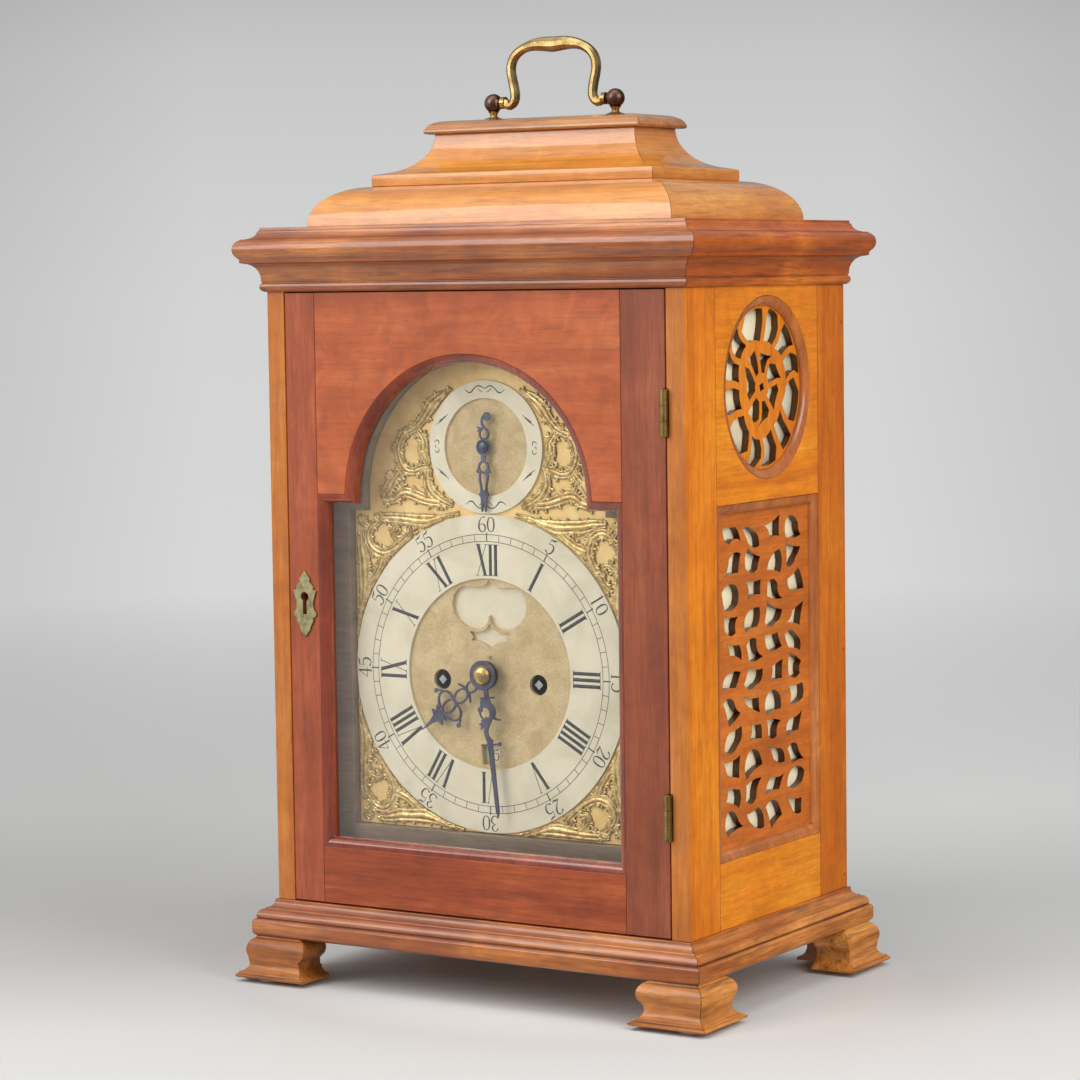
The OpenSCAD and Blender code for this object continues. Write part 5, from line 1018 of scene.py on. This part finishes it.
print("setting the studio")
floorLook = dict(radius=3.2, segments=96, span=(-0.6, 0.5), rear=(-0.05, 0.12), sides=(-0.3, 0.3),
                 lean=(-0.07, 0.14), oval=(1, 1.3, 0), paintedLightBeneath=(0.09, 0.22), under=1.5, near=0.62, far=2.4,
                 roughness=0.6, specular=0.2,
                 tones=((0.0, 190), (0.2, 182), (0.36, 178), (0.5, 184), (0.68, 201), (1.0, 208)))
airLook = dict(
    ambient=0.66, ambientColour=(0.98, 0.99, 1.0, 1), skySpan=0.13, glowSpan=0.156, glowScale=2.0,
    blend=(0.0, 0.2),
    sky=((-0.13, 204), (-0.08, 202), (-0.007, 199), (0.03, 194), (0.065, 187), (0.085, 178), (0.13, 172)),
    glow=((-0.156, 1.0), (-0.1, 1.14), (0.1, 1.14), (0.156, 1.0)),
    low=((-180, 0.15), (-100, 0.3), (-72, 1.0), (-36, 1.0), (-33, 0.42), (20, 0.4), (80, 0.4), (110, 0.12),
         (180, 0.12)),
    high=((-180, 0.25), (-100, 0.5), (-75, 1.5), (-5, 1.3), (30, 0.6), (70, 0.8), (120, 0.3), (180, 0.25)))


def alongView(tree, p, x, y):  # how far a point lies along a level direction
    return calc(tree, "ADD", times(tree, p[0], x), times(tree, p[1], y))


def floorMaterial():
    mat, tree, shader = newMaterial("paleFloor")
    point = objectPoint(tree)
    p = splitPoint(tree, point)
    ahead = alongView(tree, p, math.sin(yaw), -math.cos(yaw))
    aside = alongView(tree, p, math.cos(yaw), math.sin(yaw))
    # the floor's tone falls and rises front to back, and leans from side to side behind the case: painted
    # light falloff
    tones = [(at, rgb(level, level, level - 1)) for at, level in floorLook["tones"]]
    tone = ramp(tree, spread(tree, ahead, *floorLook["span"]), tones)
    rear = spread(tree, ahead, *floorLook["rear"], 1.0, 0.0)
    lean = times(tree, rear, spread(tree, aside, *floorLook["sides"], *floorLook["lean"]))
    tone = scaled(tree, tone, calc(tree, "ADD", 1.0, lean))
    fromMiddle = lengthOf(tree, stretched(tree, point, floorLook["oval"]))
    # brighter round and under the case: a painted pool of light that lightens the case's shadow
    tone = scaled(tree, tone, spread(tree, fromMiddle, *floorLook["paintedLightBeneath"], floorLook["under"], 1.0))
    feed(tree, shader, {"Base Color": tone, "Roughness": floorLook["roughness"],
                        "Specular IOR Level": floorLook["specular"]})
    fade = spread(tree, lengthOf(tree, point), floorLook["near"], floorLook["far"])
    rays = put(tree, "ShaderNodeLightPath").outputs
    unseen = calc(tree, "MAXIMUM", times(tree, fade, rays["Is Camera Ray"]), rays["Is Glossy Ray"])
    mixShader(tree, unseen, shader, put(tree, "ShaderNodeBsdfTransparent"))
    return mat


bm = bmesh.new()
bmesh.ops.create_circle(bm, cap_ends=True, segments=floorLook["segments"], radius=floorLook["radius"])
floorMesh = bpy.data.meshes.new("floor")
bm.to_mesh(floorMesh)
bm.free()
floorMesh.materials.append(floorMaterial())
floor = addObject("floor", floorMesh)

world = bpy.data.worlds.new("studioAir")
scene.world = world
world.use_nodes = True
air = world.node_tree
way = splitPoint(air, put(air, "ShaderNodeTexCoord").outputs["Generated"])
skySpan, glowSpan = airLook["skySpan"], airLook["glowSpan"]
sky = rampOver(air, way[2], -skySpan, skySpan, airLook["sky"], lambda level: rgb(level, level + 1, level))
across = alongView(air, way, math.cos(yaw), math.sin(yaw))
glowScale = airLook["glowScale"]
glow = rampOver(air, across, -glowSpan, glowSpan, airLook["glow"], lambda level: grey(level / glowScale))
sky = scaled(air, tinted(air, sky, glow), glowScale)
azimuth = times(air, calc(air, "ARCTAN2", way[0], times(air, way[1], -1.0)), 180 / math.pi)
around = [rampOver(air, azimuth, -180, 180, airLook[k], grey) for k in ("low", "high")]
reflected = mixColour(air, spread(air, way[2], *airLook["blend"]), *around)
base = air.nodes["Background"]
feed(air, base, {0: airLook["ambientColour"], 1: airLook["ambient"]})
shown = put(air, "ShaderNodeBackground", {0: sky, 1: 1.0})
shine = put(air, "ShaderNodeBackground", {0: reflected, 1: 1.0})
rays = put(air, "ShaderNodeLightPath").outputs
joined = base.outputs[0]
for ray, look in (("Is Glossy Ray", shine), ("Is Transmission Ray", shown), ("Is Camera Ray", shown)):
    joined = put(air, "ShaderNodeMixShader", {0: rays[ray], 1: joined, 2: look.outputs[0]}).outputs[0]
air.links.new(joined, air.nodes["World Output"].inputs["Surface"])

lampsAim = (0, 0, 0.25)
warm, white = (1.0, 0.985, 0.96), (1.0, 1.0, 1.0)
lamps = {
    "keySoftbox": dict(azimuth=-29, elevation=30, distance=1.9, size=(0.9, 1.4), power=16.5, colour=warm),
    "sideSoftbox": dict(azimuth=78, elevation=28, distance=2.0, size=(1.1, 1.4), power=19, colour=warm),
    "topSoftbox": dict(azimuth=10, elevation=80, distance=1.8, size=(1.4, 1.4), power=12, colour=white),
}
for name, lamp in lamps.items():
    data = bpy.data.lights.new(name, "AREA")
    data.shape = "RECTANGLE"
    data.size, data.size_y = lamp["size"]
    data.energy = lamp["power"]
    data.color = lamp["colour"]
    light = addObject(name, data)
    a, e = math.radians(lamp["azimuth"]), math.radians(lamp["elevation"])
    away = Vector((math.sin(a) * math.cos(e), -math.cos(a) * math.cos(e), math.sin(e)))
    light.location = Vector(lampsAim) + away * lamp["distance"]
    light.rotation_mode = "QUATERNION"
    light.rotation_quaternion = away.to_track_quat("Z", "Y")

scene.view_settings.view_transform = "Standard"
